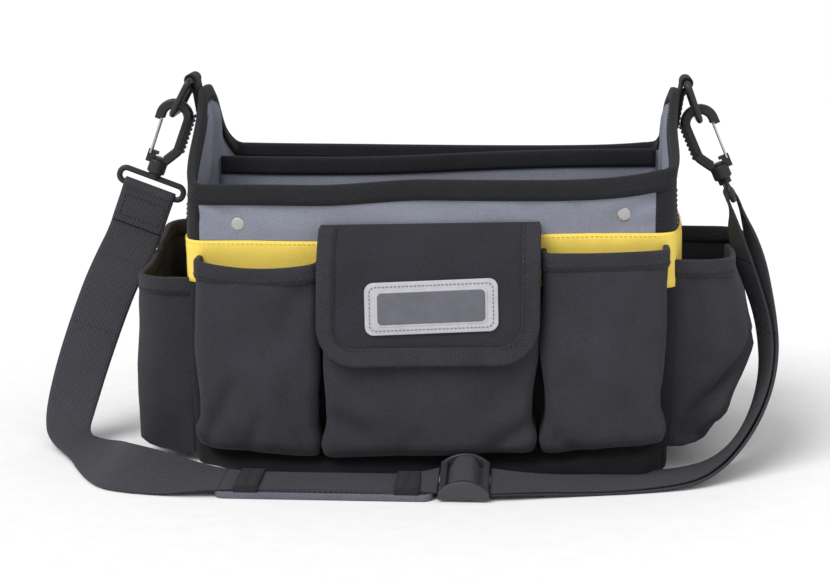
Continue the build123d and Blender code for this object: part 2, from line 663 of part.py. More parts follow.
os.makedirs("parts", exist_ok=True)
for node, shape in parts.items():
    export_step(shape, f"parts/{node}.step")
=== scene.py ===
from math import cos, hypot, pi, radians, sin, sqrt, tau

import bmesh
import bpy
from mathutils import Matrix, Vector
from mathutils.noise import noise


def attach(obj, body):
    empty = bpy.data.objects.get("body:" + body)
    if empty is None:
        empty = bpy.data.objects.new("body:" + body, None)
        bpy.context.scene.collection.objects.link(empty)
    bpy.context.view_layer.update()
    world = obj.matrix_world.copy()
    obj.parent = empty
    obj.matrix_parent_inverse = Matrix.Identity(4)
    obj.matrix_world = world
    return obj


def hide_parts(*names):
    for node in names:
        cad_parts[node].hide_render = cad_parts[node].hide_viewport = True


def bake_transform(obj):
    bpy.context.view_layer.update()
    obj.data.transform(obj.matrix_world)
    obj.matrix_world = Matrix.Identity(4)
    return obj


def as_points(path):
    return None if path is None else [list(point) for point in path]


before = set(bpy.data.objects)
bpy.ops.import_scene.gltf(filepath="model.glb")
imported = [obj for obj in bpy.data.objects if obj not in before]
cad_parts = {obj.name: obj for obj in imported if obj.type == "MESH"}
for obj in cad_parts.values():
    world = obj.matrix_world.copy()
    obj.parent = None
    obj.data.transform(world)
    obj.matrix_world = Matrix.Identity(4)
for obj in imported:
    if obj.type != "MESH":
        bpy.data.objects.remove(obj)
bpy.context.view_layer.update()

MM = 0.001


def mm(*values):
    """Millimetres to a point in metres."""
    return Vector(values) * MM


# ---- camera -------------------------------------------------------------------------------------
camera = bpy.data.objects.new("camera", bpy.data.cameras.new("camera"))
bpy.context.collection.objects.link(camera)
camera.location = mm(72.9, -1455.3, 398.5)
camera.rotation_euler = (pi / 2 - 0.200, 0, 0.061)
camera.data.sensor_width = 36
camera.data.lens = 89.5
bpy.context.scene.camera = camera
bpy.context.scene.view_settings.view_transform = "Standard"


# ---- mesh helpers -------------------------------------------------------------------------------
def new_object(name, points, faces, uvs=None, smooth=True):
    """A mesh object from points in metres; uvs gives each point's place on its cloth, in metres."""
    mesh = bpy.data.meshes.new(name)
    mesh.from_pydata([tuple(p) for p in points], [], faces)
    if uvs:
        layer = mesh.uv_layers.new(name="cloth")
        for loop in mesh.loops:
            layer.data[loop.index].uv = uvs[loop.vertex_index]
    for polygon in mesh.polygons:
        polygon.use_smooth = smooth
    obj = bpy.data.objects.new(name, mesh)
    bpy.context.collection.objects.link(obj)
    return obj


def quads(rows, columns, closed=False, base=0):
    """Faces between rows of points, from point number base; closed joins each row's end to its start."""
    faces = []
    for j in range(rows - 1):
        for i in range(columns if closed else columns - 1):
            a, k = base + j * columns, (i + 1) % columns
            faces.append((a + i, a + k, a + columns + k, a + columns + i))
    return faces


def recalc(obj):
    """Turns all faces outwards."""
    bm = bmesh.new()
    bm.from_mesh(obj.data)
    bmesh.ops.recalc_face_normals(bm, faces=bm.faces)
    bm.to_mesh(obj.data)
    bm.free()
    return obj


def apply_modifiers(obj):
    """Bakes the modifiers into the mesh."""
    graph = bpy.context.evaluated_depsgraph_get()
    mesh = bpy.data.meshes.new_from_object(obj.evaluated_get(graph), depsgraph=graph)
    obj.modifiers.clear()
    obj.data = mesh
    for polygon in mesh.polygons:
        polygon.use_smooth = True
    return obj


def add_faces(obj, *rings, triangles=False):
    """Closes a mesh with a face through each ring of point numbers."""
    bm = bmesh.new()
    bm.from_mesh(obj.data)
    bm.verts.ensure_lookup_table()
    faces = [bm.faces.new([bm.verts[i] for i in ring]) for ring in rings]
    if triangles:
        bmesh.ops.triangulate(bm, faces=faces)
    bm.to_mesh(obj.data)
    bm.free()


def thicken(obj, thickness, offset=-1.0):
    """Closes a single sheet into a solid cloth of that thickness."""
    mod = obj.modifiers.new("cloth", "SOLIDIFY")
    mod.thickness = thickness
    mod.offset = offset
    return recalc(apply_modifiers(obj))


def grid(name, f, nu, nv):
    """A sheet through f(u, v), with u and v from 0 to 1. f gives a point and its place on the cloth."""
    placed = [f(i / nu, j / nv) for j in range(nv + 1) for i in range(nu + 1)]
    return new_object(name, [p for p, _ in placed], quads(nv + 1, nu + 1), [uv for _, uv in placed])


def join(name, objects):
    """One object from several, each keeping its material."""
    bpy.ops.object.select_all(action="DESELECT")
    for obj in objects:
        obj.select_set(True)
    bpy.context.view_layer.objects.active = objects[0]
    bpy.ops.object.join()
    objects[0].name = name
    return objects[0]


def flat_section(width, thickness, edge=0.3, cells=8):
    """The section of a flat band: rounded at its edges, with cells across its width."""
    w, t = width / 2, thickness / 2
    xs = [-w + thickness * edge + (2 * w - 2 * thickness * edge) * k / cells for k in range(cells + 1)]
    top = [(x, t) for x in xs]
    low = [(x, -t) for x in reversed(xs)]
    return [(-w, 0.0), *top, (w, 0.0), *low]


def spline_points(control):
    """The points of the smooth NURBS spline that has these control points."""
    curve = bpy.data.curves.new("line", "CURVE")
    curve.dimensions = "3D"
    spline = curve.splines.new("NURBS")
    spline.points.add(len(control) - 1)
    for target, point in zip(spline.points, control):
        target.co = (*point, 1.0)
    spline.order_u = 3
    spline.use_endpoint_u = True
    spline.resolution_u = 24
    obj = bpy.data.objects.new("line", curve)
    bpy.context.collection.objects.link(obj)
    mesh = bpy.data.meshes.new_from_object(obj)
    line = [v.co.copy() for v in mesh.vertices]
    bpy.data.objects.remove(obj)
    return line


def running(line):
    """How long a line is up to each of its points."""
    lengths = [0.0]
    for a, b in zip(line, line[1:]):
        lengths.append(lengths[-1] + (b - a).length)
    return lengths


def length_of(line):
    return running(line)[-1]


def even_places(line, count):
    """Count even steps along a line, each the point before it and the share of the way to the next."""
    lengths = running(line)
    places, k = [], 0
    for i in range(count):
        want = lengths[-1] * i / (count - 1)
        while k < len(line) - 2 and lengths[k + 1] < want:
            k += 1
        span = lengths[k + 1] - lengths[k]
        places.append((k, min(max((want - lengths[k]) / span if span else 0.0, 0.0), 1.0)))
    return places


def even(line, count):
    """The same line with count points evenly spaced."""
    return [line[k].lerp(line[k + 1], t) for k, t in even_places(line, count)]


def smooth_line(stops, count):
    """Evenly spaced points along the spline through (point, hint) stops, and the hint at each."""
    line, hints = (spline_points([stop[i] for stop in stops]) for i in range(2))
    places = even_places(line, count)
    return tuple([values[k].lerp(values[k + 1], t) for k, t in places] for values in (line, hints))


def slack_at(x, y, z, coarse, fine, seed):
    """Millimetres of loose cloth there: coarse and fine each give its depth and scale."""
    place = (x * MM, y * MM, z * MM)
    return coarse[0] * wobble(*place, coarse[1], seed) + fine[0] * wobble(*place, fine[1], seed + 1)


def mix(a, b, t):
    return a + (b - a) * t


def ease(t):
    t = min(max(t, 0.0), 1.0)
    return t * t * (3 - 2 * t)


def wobble(x, y, z, scale, seed):
    """Smooth noise, about -0.5 to 0.5, of a place given in metres."""
    return noise(Vector((x / scale + seed * 7.1, y / scale, z / scale)))


def each(value, line):
    """One value for each point of a line, from a list of them or from one for all."""
    return value if isinstance(value, list) else [value] * len(line)


def stitches(name, line, normals, pitch=0.0032, length=0.0021, radius=0.00028, lift=0.0001):
    """A row of thread stitches lying on a surface, along a line with its normals, or with one."""
    normals = each(normals, line)
    count = max(int(length_of(line) / pitch), 1)
    points = even(line, count * 2 + 1)
    verts, faces, uvs = [], [], []
    total = len(line) - 1
    for i in range(count):
        middle = points[2 * i + 1]
        along = (points[2 * i + 2] - points[2 * i]).normalized()
        where = (2 * i + 1) / (2 * count) * total
        k = min(int(where), total - 1)
        normal = normals[k].lerp(normals[k + 1], where - k).normalized()
        side = along.cross(normal).normalized()
        base = len(verts)
        for s in (-1.0, -0.45, 0.45, 1.0):
            swell, rise = (0.45, 0.2) if abs(s) == 1.0 else (1.0, 0.7)
            centre = middle + along * (s * length / 2) + normal * (lift + radius * rise)
            for a in range(6):
                angle = tau * a / 6
                verts.append(centre + (side * cos(angle) + normal * sin(angle)) * radius * swell)
                uvs.append((0.0, 0.0))
        faces += quads(4, 6, True, base)
        faces += [tuple(range(base + 5, base - 1, -1)), tuple(range(base + 18, base + 24))]
    return recalc(new_object(name, verts, faces, uvs))


def box_stitches(box, place, normal):
    """Rows of stitches from corner to corner of a box, where place(a, b) gives a point of the cloth."""
    rows = []
    for (a0, b0), (a1, b1) in zip(box, box[1:]):
        seam = [place(mix(a0, a1, i / 8), mix(b0, b1, i / 8)) for i in range(9)]
        rows.append(stitches("thread", seam, normal))
    return rows


# ---- materials ----------------------------------------------------------------------------------
def linear(r, g, b):
    """An sRGB colour, 0 to 255, as linear light."""
    shares = (v / 255 for v in (r, g, b))
    return tuple(((v + 0.055) / 1.055) ** 2.4 if v > 0.04 else v / 12.92 for v in shares) + (1.0,)


class Mat:
    """A node material being built up around one Principled shader."""

    def __init__(self, name, roughness, specular=0.3, sheen=0.0, metallic=0.0):
        self.mat = bpy.data.materials.new(name)
        self.mat.use_nodes = True
        self.nodes = self.mat.node_tree.nodes
        self.links = self.mat.node_tree.links
        self.shader = self.nodes["Principled BSDF"]
        values = {
            "Roughness": roughness, "Specular IOR Level": specular, "Metallic": metallic,
            "Sheen Weight": sheen, "Sheen Roughness": 0.5,
        }
        for key, value in values.items():
            self.shader.inputs[key].default_value = value
        self.height = None

    def fill(self, socket, value):
        """Sets a socket, or links another node's output to it."""
        if hasattr(value, "is_linked"):
            self.links.new(value, socket)
        else:
            socket.default_value = value

    def node(self, kind, **inputs):
        made = self.nodes.new(kind)
        for key, value in inputs.items():
            self.fill(made.inputs[key.replace("_", " ")], value)
        return made

    def math(self, operation, *values):
        made = self.nodes.new("ShaderNodeMath")
        made.operation = operation
        for socket, value in zip(made.inputs, values):
            self.fill(socket, value)
        return made.outputs[0]

    def place(self, kind, scale=(1, 1, 1), turn=0.0):
        """Coordinates: the cloth's own, in metres, or the object's."""
        out = self.nodes.new("ShaderNodeTexCoord").outputs["UV" if kind == "cloth" else "Object"]
        return self.node("ShaderNodeMapping", Vector=out, Scale=scale, Rotation=(0, 0, turn)).outputs[0]

    def noise(self, place, scale, detail=3.0, roughness=0.6):
        made = self.node("ShaderNodeTexNoise", Vector=place, Scale=scale, Detail=detail, Roughness=roughness)
        return made.outputs["Fac"]

    def wave(self, place, pitch, along="X", distortion=0.0, detail_scale=1.0):
        """A sine wave from 0 to 1 with that pitch in metres."""
        made = self.node(
            "ShaderNodeTexWave", Vector=place, Scale=0.314159 / pitch, Distortion=distortion, Detail=1.0,
            Detail_Scale=detail_scale,
        )
        made.bands_direction = along
        return made.outputs["Fac"]

    def herringbone(self, place, pitch, turn):
        """Ribs from 0 to 1 along X, slanting to and fro with that turn in metres along Y."""
        parts = self.node("ShaderNodeSeparateXYZ", Vector=place)
        zigzag = self.math("PINGPONG", parts.outputs["Y"], turn)
        phase = self.math("MULTIPLY", self.math("ADD", parts.outputs["X"], zigzag), 2 * pi / pitch)
        return self.math("ADD", self.math("MULTIPLY", self.math("SINE", phase), 0.5), 0.5)

    def grey(self, value, low, high, start=0.25, end=0.75):
        """A grey from low to high, as value goes from start to end."""
        made = self.node("ShaderNodeValToRGB", Fac=value)
        for element, at, tone in zip(made.color_ramp.elements, (start, end), (low, high)):
            element.position = at
            element.color = (tone, tone, tone, 1)
        return made.outputs["Color"]

    def paint(self, base, *tones):
        """The base colour, lightened and darkened by each of the grey tones."""
        made = self.nodes.new("ShaderNodeRGB")
        made.outputs[0].default_value = base
        colour = made.outputs[0]
        for tone in tones:
            made = self.nodes.new("ShaderNodeMix")
            made.data_type = "RGBA"
            made.blend_type = "MULTIPLY"
            made.inputs["Factor"].default_value = 1.0
            self.links.new(colour, made.inputs["A"])
            self.links.new(tone, made.inputs["B"])
            colour = made.outputs["Result"]
        self.links.new(colour, self.shader.inputs["Base Color"])

    def rough(self, socket):
        self.links.new(socket, self.shader.inputs["Roughness"])

    def bump(self, height, distance, strength=1.0):
        made = self.node("ShaderNodeBump", Height=height, Distance=distance, Strength=strength)
        if self.height is not None:
            self.links.new(self.height, made.inputs["Normal"])
        self.height = made.outputs["Normal"]
        self.links.new(self.height, self.shader.inputs["Normal"])


def woven(
    name, base, pitch=0.0011, depth=0.00012, mottle=0.16, roughness=0.9, sheen=0.06, specular=0.12,
    twill=0.0, grit=1.0,
):
    """Plain or twill weave, with the uneven grain and faint creasing of coated polyester."""
    m = Mat(name, roughness, specular, sheen)
    cloth = m.place("cloth", turn=twill)
    across = m.wave(cloth, pitch, "X", 0.6, 40)
    along = m.wave(cloth, pitch, "Y", 0.6, 40)
    weave = m.math("MULTIPLY", across, along)
    grain = m.noise(m.place("object"), 900, 3.0, 0.7)
    cloud = m.noise(m.place("object"), 28, 4.0)
    tone = m.grey(cloud, 1 - mottle, 1 + mottle * 0.5)
    fleck = m.grey(grain, 1 - 0.24 * grit, 1 + 0.24 * grit)
    threads = m.grey(weave, 1 - 0.14 * grit, 1 + 0.12 * grit)
    m.paint(base, tone, fleck, threads)
    m.bump(m.noise(m.place("object"), 90, 3.0), 0.0006, 0.5)
    m.bump(weave, depth)
    m.bump(grain, 0.00018 * grit, 0.7)
    return m.mat


def grosgrain(name, base, pitch=0.0018, roughness=0.88):
    """Binding tape: close slanting ribs that turn back on themselves in a herringbone."""
    m = Mat(name, roughness, 0.15, 0.06)
    ribs = m.herringbone(m.place("cloth"), pitch, 0.004)
    grain = m.noise(m.place("object"), 700, 2.0)
    cloud = m.noise(m.place("object"), 40, 3.0)
    m.paint(base, m.grey(ribs, 0.45, 1.7, 0.1, 0.9), m.grey(grain, 0.8, 1.15), m.grey(cloud, 0.85, 1.12))
    m.bump(ribs, 0.00025)
    m.bump(grain, 0.00012, 0.6)
    return m.mat


def webbing(name, base):
    """Strap webbing: a grid of fine ribs along it and picks across it."""
    m = Mat(name, 0.8, 0.2, 0.06)
    cloth = m.place("cloth")
    picks = m.wave(cloth, 0.0015, "X", 0.4, 30)
    warps = m.wave(cloth, 0.0018, "Y", 0.3, 20)
    grain = m.noise(m.place("object"), 800, 2.0)
    cloud = m.noise(m.place("object"), 22, 3.0)
    weave = m.math("MULTIPLY", m.math("ADD", picks, 0.35), m.math("ADD", warps, 0.35))
    m.paint(base, m.grey(weave, 0.62, 1.4, 0.1, 0.9), m.grey(grain, 0.85, 1.12), m.grey(cloud, 0.9, 1.08))
    m.bump(weave, 0.00032)
    m.bump(grain, 0.0001, 0.5)
    return m.mat


def moulded(name, base, roughness=0.42, specular=0.45, grain_depth=0.00006):
    """Moulded plastic or rubber: faint texture, scuffs and uneven gloss."""
    m = Mat(name, roughness, specular)
    place = m.place("object")
    fine = m.noise(place, 1400, 2.0)
    scuff = m.noise(place, 130, 5.0, 0.7)
    m.paint(base, m.grey(scuff, 0.88, 1.14))
    m.rough(m.grey(scuff, roughness - 0.08, roughness + 0.12, 0.3, 0.7))
    m.bump(fine, grain_depth, 0.7)
    m.bump(scuff, 0.00008, 0.4)
    return m.mat


def plated(name, base, roughness=0.28):
    """Nickel plate with hairline marks."""
    m = Mat(name, roughness, 0.5, metallic=1.0)
    place = m.place("object")
    marks = m.noise(m.place("object", (1, 1, 14)), 420, 3.0)
    cloud = m.noise(place, 160, 3.0)
    m.paint(base, m.grey(cloud, 0.86, 1.06))
    m.rough(m.grey(marks, roughness - 0.08, roughness + 0.16, 0.3, 0.75))
    m.bump(marks, 0.00003, 0.6)
    return m.mat


CHARCOAL = linear(58, 57, 63)
M = {
    "cloth": woven("charcoal cloth", CHARCOAL),
    "flap": woven("flap cloth", linear(52, 51, 57)),
    # darker than the charcoal cloth: partly the base panel's own darker tone and partly painted shade under
    # the pockets
    "skirt": woven("base cloth darkened with painted shade", linear(38, 38, 41), mottle=0.2),
    "inside": woven("dark inside", linear(36, 36, 39)),
    "grey": woven(
        "grey twill", linear(140, 143, 156), pitch=0.0016, depth=0.00008, mottle=0.1, roughness=0.88,
        sheen=0.05, specular=0.15, twill=0.6, grit=0.6,
    ),
    "yellow": woven(
        "yellow cloth", linear(252, 222, 104), pitch=0.001, depth=0.00005, mottle=0.05, roughness=0.8,
        sheen=0.0, specular=0.15, grit=0.3,
    ),
    "binding": grosgrain("black binding", linear(40, 40, 43)),
    "pocket_binding": grosgrain("pocket binding", linear(52, 51, 56)),
    "webbing": webbing("strap webbing", linear(62, 61, 67)),
    "tab": webbing("tab webbing", linear(36, 35, 39)),
    "pad_edge": woven("pad edge", linear(106, 105, 116), 0.0011),
    "pad": woven("pad cloth", linear(66, 65, 72), 0.0011),
    "keeper": grosgrain("keeper elastic", linear(38, 37, 41)),
    "thread": moulded("thread", linear(50, 49, 54), 0.8, 0.1),
    "light_thread": moulded("light thread", linear(122, 122, 130), 0.7, 0.2),
    "yellow_thread": moulded("yellow thread", linear(226, 192, 66), 0.8, 0.1),
    "grey_thread": moulded("grey thread", linear(122, 122, 130), 0.7, 0.2),
    "rubber": moulded("label rubber", linear(182, 181, 188), 0.6, 0.25, 0.00008),
    "inlay": moulded("label inlay", linear(100, 100, 109), 0.6, 0.2, 0.00008),
    "plastic": moulded("black plastic", linear(36, 36, 39), 0.4, 0.4),
    # the slider is black plastic: its colour is lighter than the black plastic's, as painted highlight
    # standing in for the shine on its front rail
    "slider": moulded("black slider plastic lightened as painted highlight", linear(56, 56, 62), 0.4, 0.45),
    "ring": moulded("ring coating", linear(38, 38, 41), 0.38, 0.4),
    "nickel": plated("nickel", linear(186, 183, 180), 0.42),
    "rivet": plated("rivet nickel", linear(196, 193, 190), 0.55),
    "wire": plated("gate wire", linear(214, 214, 214), 0.25),
    "fuzz": woven("loop tape", linear(26, 26, 28), 0.0009, 0.0002),
    "board": moulded("board", linear(80, 80, 82), 0.7, 0.3),
}


def finish(obj, material, body, slot, *replaced):
    """Material, body (None if it bends), record slot (not used) and the CAD nodes that a piece stands for."""
    obj.data.materials.clear()
    obj.data.materials.append(M[material])
    if body:
        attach(obj, body)
    if replaced:
        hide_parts(*replaced)
    return obj


# ---- the bag's driving sizes, millimetres -------------------------------------------------------
HALF_W, HALF_D = 160.0, 100.0
RIM, PEAK, PEAK_FLAT = 198.0, 250.0, 26.0
# how far each corner's top stands above the rim, by the signs of its x and y
CORNER_RISE = {(-1, -1): -4.5, (1, -1): 8.0, (1, 1): 3.0, (-1, 1): 0.5}
LEAN = radians(8.0)  # of the peaks, outwards
WALL = 3.0
CORNER = 8.0  # plan radius of the bag's upright corners
TAPE_HIGH, TAPE_INSIDE = 12.5, 9.5  # the rim's tape outside and inside
BAND_LOW, BAND_TOP = 128.0, 157.0  # the yellow band
BACKING = 1.0  # the cloth behind the pockets
CLOTH = 2.0  # the pockets' cloth
MOUTH_TAPE = 11.0


def arc(x, y, radius, start, cells, whole=False):
    """A quarter circle about x, y as (x, y, outward x, outward y); whole adds its last point."""
    angles = [start + i / cells * pi / 2 for i in range(cells + whole)]
    return [(x + radius * cos(a), y + radius * sin(a), cos(a), sin(a)) for a in angles]


def plan_loop(grow=0.0, step=5.0, arc_cells=8):
    """Points round the bag, each (x, y, outward x, outward y), from the front left corner on."""
    radius = CORNER + grow
    corners = ((-1, -1), (1, -1), (1, 1), (-1, 1))
    centres = [(sx * (HALF_W - CORNER), sy * (HALF_D - CORNER)) for sx, sy in corners]
    out = []
    for k, (cx, cy) in enumerate(centres):
        out += arc(cx, cy, radius, pi + k * pi / 2, arc_cells, True)
        x, y, nx, ny = out[-1]
        tx, ty = centres[(k + 1) % 4]
        ex, ey = tx + radius * nx, ty + radius * ny
        cells = int(hypot(ex - x, ey - y) / step)
        for i in range(1, cells):
            out.append((mix(x, ex, i / cells), mix(y, ey, i / cells), nx, ny))
    return out


def loop_lengths(loop):
    lengths = [0.0]
    for a, b in zip(loop, loop[1:] + loop[:1]):
        lengths.append(lengths[-1] + hypot(b[0] - a[0], b[1] - a[1]))
    return lengths


def corner_rise(x, y):
    return CORNER_RISE[(1 if x > 0 else -1, 1 if y > 0 else -1)]


def rim_height(x, y):
    """Height of the shell's top edge, before the peaks lean."""
    rise = corner_rise(x, y)
    if abs(y) > HALF_D - 0.5:
        share = 1 - ease((x + 80) / 80) if rise < 0 else min(abs(x) / (HALF_W - CORNER), 1.0) ** 5
        return RIM + rise * share - (2.0 if y > 0 else 0.0)
    t = (HALF_D - abs(y)) / (HALF_D - PEAK_FLAT / 2)
    if t >= 1:
        return PEAK
    rise -= 2.0 if y > 0 else 0.0
    return RIM + rise + (PEAK - RIM - rise) * (0.62 * t + 0.38 * t * t)


def end_bulge(y, z):
    """How far the ends belly out at that depth and height."""
    up = ease(z / 70) * (1 - 0.4 * ease((z - 150) / 50)) * (1 - ease((z - 195) / 45))
    return 9.5 * (1 - min(abs(y) / HALF_D, 1.0) ** 5) * up


def shell_at(x, y, nx, ny, z, out=0.0):
    """A point of the shell's outer face at that height, moved outwards."""
    slack = 1.8 * ease((z - 20) / 150) * wobble(x * MM, y * MM, z * MM, 0.075, 3)
    slack += end_bulge(y, z) * nx * nx
    if abs(nx) > 0.9 and z > RIM - 30:
        slack -= sum(crease(y, z, *fold) for fold in END_FOLDS)
    if ny < -0.9 and z > 150:
        slack -= sum(crease(x, z, *fold) for fold in WALL_FOLDS)
    sag = -1.5 * cos(pi * x / (2 * HALF_W)) * abs(ny) ** 2 * ease((z - 150) / 60)
    x += nx * (slack + sag + out)
    y += ny * (slack + sag + out)
    lift = max(z - RIM, 0.0)
    return mm(x + abs(nx) * (1 if x > 0 else -1) * lift * sin(LEAN), y, z - lift * (1 - cos(LEAN)))


def crease(x, z, a, b, width, depth):
    """How far a fold from a to b, each (across, up) in millimetres, presses the cloth in at x, z."""
    dx, dz = b[0] - a[0], b[1] - a[1]
    t = ((x - a[0]) * dx + (z - a[1]) * dz) / (dx * dx + dz * dz)
    fade = ease(min(t + 0.25, 1.25 - t) / 0.5)
    off = hypot(x - a[0] - dx * min(max(t, 0), 1), z - a[1] - dz * min(max(t, 0), 1))
    return depth * fade * 2.718 ** (-((off / width) ** 2))


# the ends' slack cloth gathers from the peak down towards the divider
END_FOLDS = [((-14, 238), (-34, 182), 7, 5.5), ((16, 236), (38, 184), 8, 4.5), ((2, 226), (4, 176), 6, -3.0)]
WALL_FOLDS = [  # and the front wall puckers at its corners and rivets
    ((-154, 192), (-126, 168), 4, 2.2), ((-156, 176), (-142, 162), 3.5, 2.0),
    ((-118, 182), (-60, 170), 7, 1.2), ((152, 190), (120, 172), 5, 2.6),
    ((122, 166), (152, 174), 4, 2.4), ((96, 184), (110, 162), 5, 1.6),
    ((60, 184), (90, 168), 7, 1.2), ((-20, 186), (30, 176), 9, 0.9),
]


def rows_object(name, rows, closed_length=0.0):
    """A sheet from rows of (point, uv). With closed_length, each row goes all the way round."""
    n = len(rows[0])
    points = [p for row in rows for p, _ in row]
    uvs = [uv for row in rows for _, uv in row]
    obj = new_object(name, points, quads(len(rows), n, bool(closed_length)), uvs)
    if closed_length:
        layer = obj.data.uv_layers["cloth"].data
        for polygon in obj.data.polygons:
            if polygon.index % n == n - 1:
                for loop in polygon.loop_indices:
                    if obj.data.loops[loop].vertex_index % n == 0:
                        layer[loop].uv.x += closed_length
    return obj


def wrapped(name, loop, heights, place):
    """A sheet round the bag with a row at each height, where place(k, z, x, y, nx, ny) gives its points."""
    lengths = loop_lengths(loop)
    rows = [
        [(place(k, z, *stop), (s * MM, z * MM)) for stop, s in zip(loop, lengths)]
        for k, z in enumerate(heights)
    ]
    return rows_object(name, rows, lengths[-1] * MM)


def on_backing(x, y, nx, ny, z, out):
    """A point that far out from the shell, for a place on the loop round the backing cloth."""
    return shell_at(x - nx * BACKING, y - ny * BACKING, nx, ny, z, BACKING + out)


def channel(half, thick, high, inside=None):
    """Section of a tape folded over an edge: (outwards, up from the edge)."""
    outer, low = half + thick, inside or high
    section = [(outer - 0.25, -high), (outer, -high * 0.66), (outer, -high * 0.33), (outer, -0.8)]
    section += [(outer * cos(pi * i / 6), thick * sin(pi * i / 6)) for i in range(1, 6)]
    section += [(-outer, -0.8), (-outer, -low * 0.33), (-outer, -low * 0.66), (-outer + 0.25, -low)]
    section += [(-half, -low), (-half, -0.4), (half, -0.4), (half, -high)]
    return [(a * MM, b * MM) for a, b in section]


def carry(name, points, outs, ups, section, closed=False):
    """Carries a closed section of (out, up) offsets along a line with those directions."""
    outs, ups = each(outs, points), each(ups, points)
    n, rows = len(section), len(points)
    along, around = running(points + points[:1]), [0.0]
    for a, b in zip(section, section[1:]):
        around.append(around[-1] + hypot(b[0] - a[0], b[1] - a[1]))
    verts = [p + o * s + u * t for p, o, u in zip(points, outs, ups) for s, t in section]
    uvs = [(along[i], around[k]) for i in range(rows) for k in range(n)]
    faces, last = quads(rows, n, True), (rows - 1) * n
    if closed:
        faces += [(last + k, last + (k + 1) % n, (k + 1) % n, k) for k in range(n)]
    else:
        faces += [tuple(range(n)), tuple(range(last, last + n))]
    obj = new_object(name, verts, faces, uvs)
    if closed:
        layer = obj.data.uv_layers["cloth"].data
        for polygon in list(obj.data.polygons)[-n:]:
            for loop in polygon.loop_indices:
                if obj.data.loops[loop].vertex_index < n:
                    layer[loop].uv.x += along[-1]
    return recalc(obj)


def tangents(points, closed=False):
    last = len(points) - 1
    if closed:
        return [(points[(i + 1) % (last + 1)] - points[i - 1]).normalized() for i in range(last + 1)]
    return [(points[min(i + 1, last)] - points[max(i - 1, 0)]).normalized() for i in range(last + 1)]


def flat_band(name, line, across, width, thick, cells=12):
    """A flat band along a line, where across is the way across it at each point, or at all of them."""
    sides = each(across, line)
    ups = [d.cross(s).normalized() for d, s in zip(tangents(line), sides)]
    return carry(name, line, sides, ups, flat_section(width, thick, cells=cells))


# ---- shell, base and band -----------------------------------------------------------------------
def build_shell():
    loop = plan_loop()
    lengths = loop_lengths(loop)
    rows = []
    for share in [j / 44 for j in range(45)]:
        row = []
        for (x, y, nx, ny), s in zip(loop, lengths):
            z = mix(3.0, rim_height(x, y), share)
            row.append((shell_at(x, y, nx, ny, z), (s * MM, z * MM)))
        rows.append(row)
    shell = thicken(rows_object("bag_shell", rows, lengths[-1] * MM), WALL * MM)
    finish(shell, "grey", "bag", "shell_grey", "front_wall", "back_wall", "left_end_panel", "right_end_panel")

    # the rim's tape follows the shell's top edge all the way round
    tops, outs = [], []
    for x, y, nx, ny in loop:
        tops.append(shell_at(x, y, nx, ny, rim_height(x, y), -WALL / 2))
        tilt = LEAN * abs(nx) * ease((rim_height(x, y) - RIM) / 10)
        outs.append(Vector((nx * cos(tilt), ny, -abs(nx) * sin(tilt))).normalized())
    ups = [o.cross(t).normalized() for o, t in zip(outs, tangents(tops, True))]
    ups = [u if u.z > 0 else -u for u in ups]
    tape = carry("rim_binding", tops, outs, ups, channel(WALL / 2 + 0.1, 1.4, TAPE_HIGH, TAPE_INSIDE), True)
    finish(
        tape, "binding", "bag", "black_binding",
        "front_rim_binding", "back_rim_binding", "left_end_rim_binding", "right_end_rim_binding",
    )
    rows_of_thread = []
    for side, high in ((1, TAPE_HIGH), (-1, TAPE_INSIDE)):
        reach = (WALL / 2 + 1.5) * side * MM
        line = [p + o * reach - u * (high - 2.2) * MM for p, o, u in zip(tops, outs, ups)]
        normals = [o * side for o in outs]
        rows_of_thread.append(stitches("thread", line + line[:1], normals + normals[:1]))
    finish(join("rim_stitching", rows_of_thread), "thread", "bag", "black_binding")


FOOT_OUT = 18.0  # the stiff base stands forward under the front pockets


def band_rise(x):
    """How much higher the yellow band's top is towards the right."""
    return 8.0 * ease((x + 110) / 260)


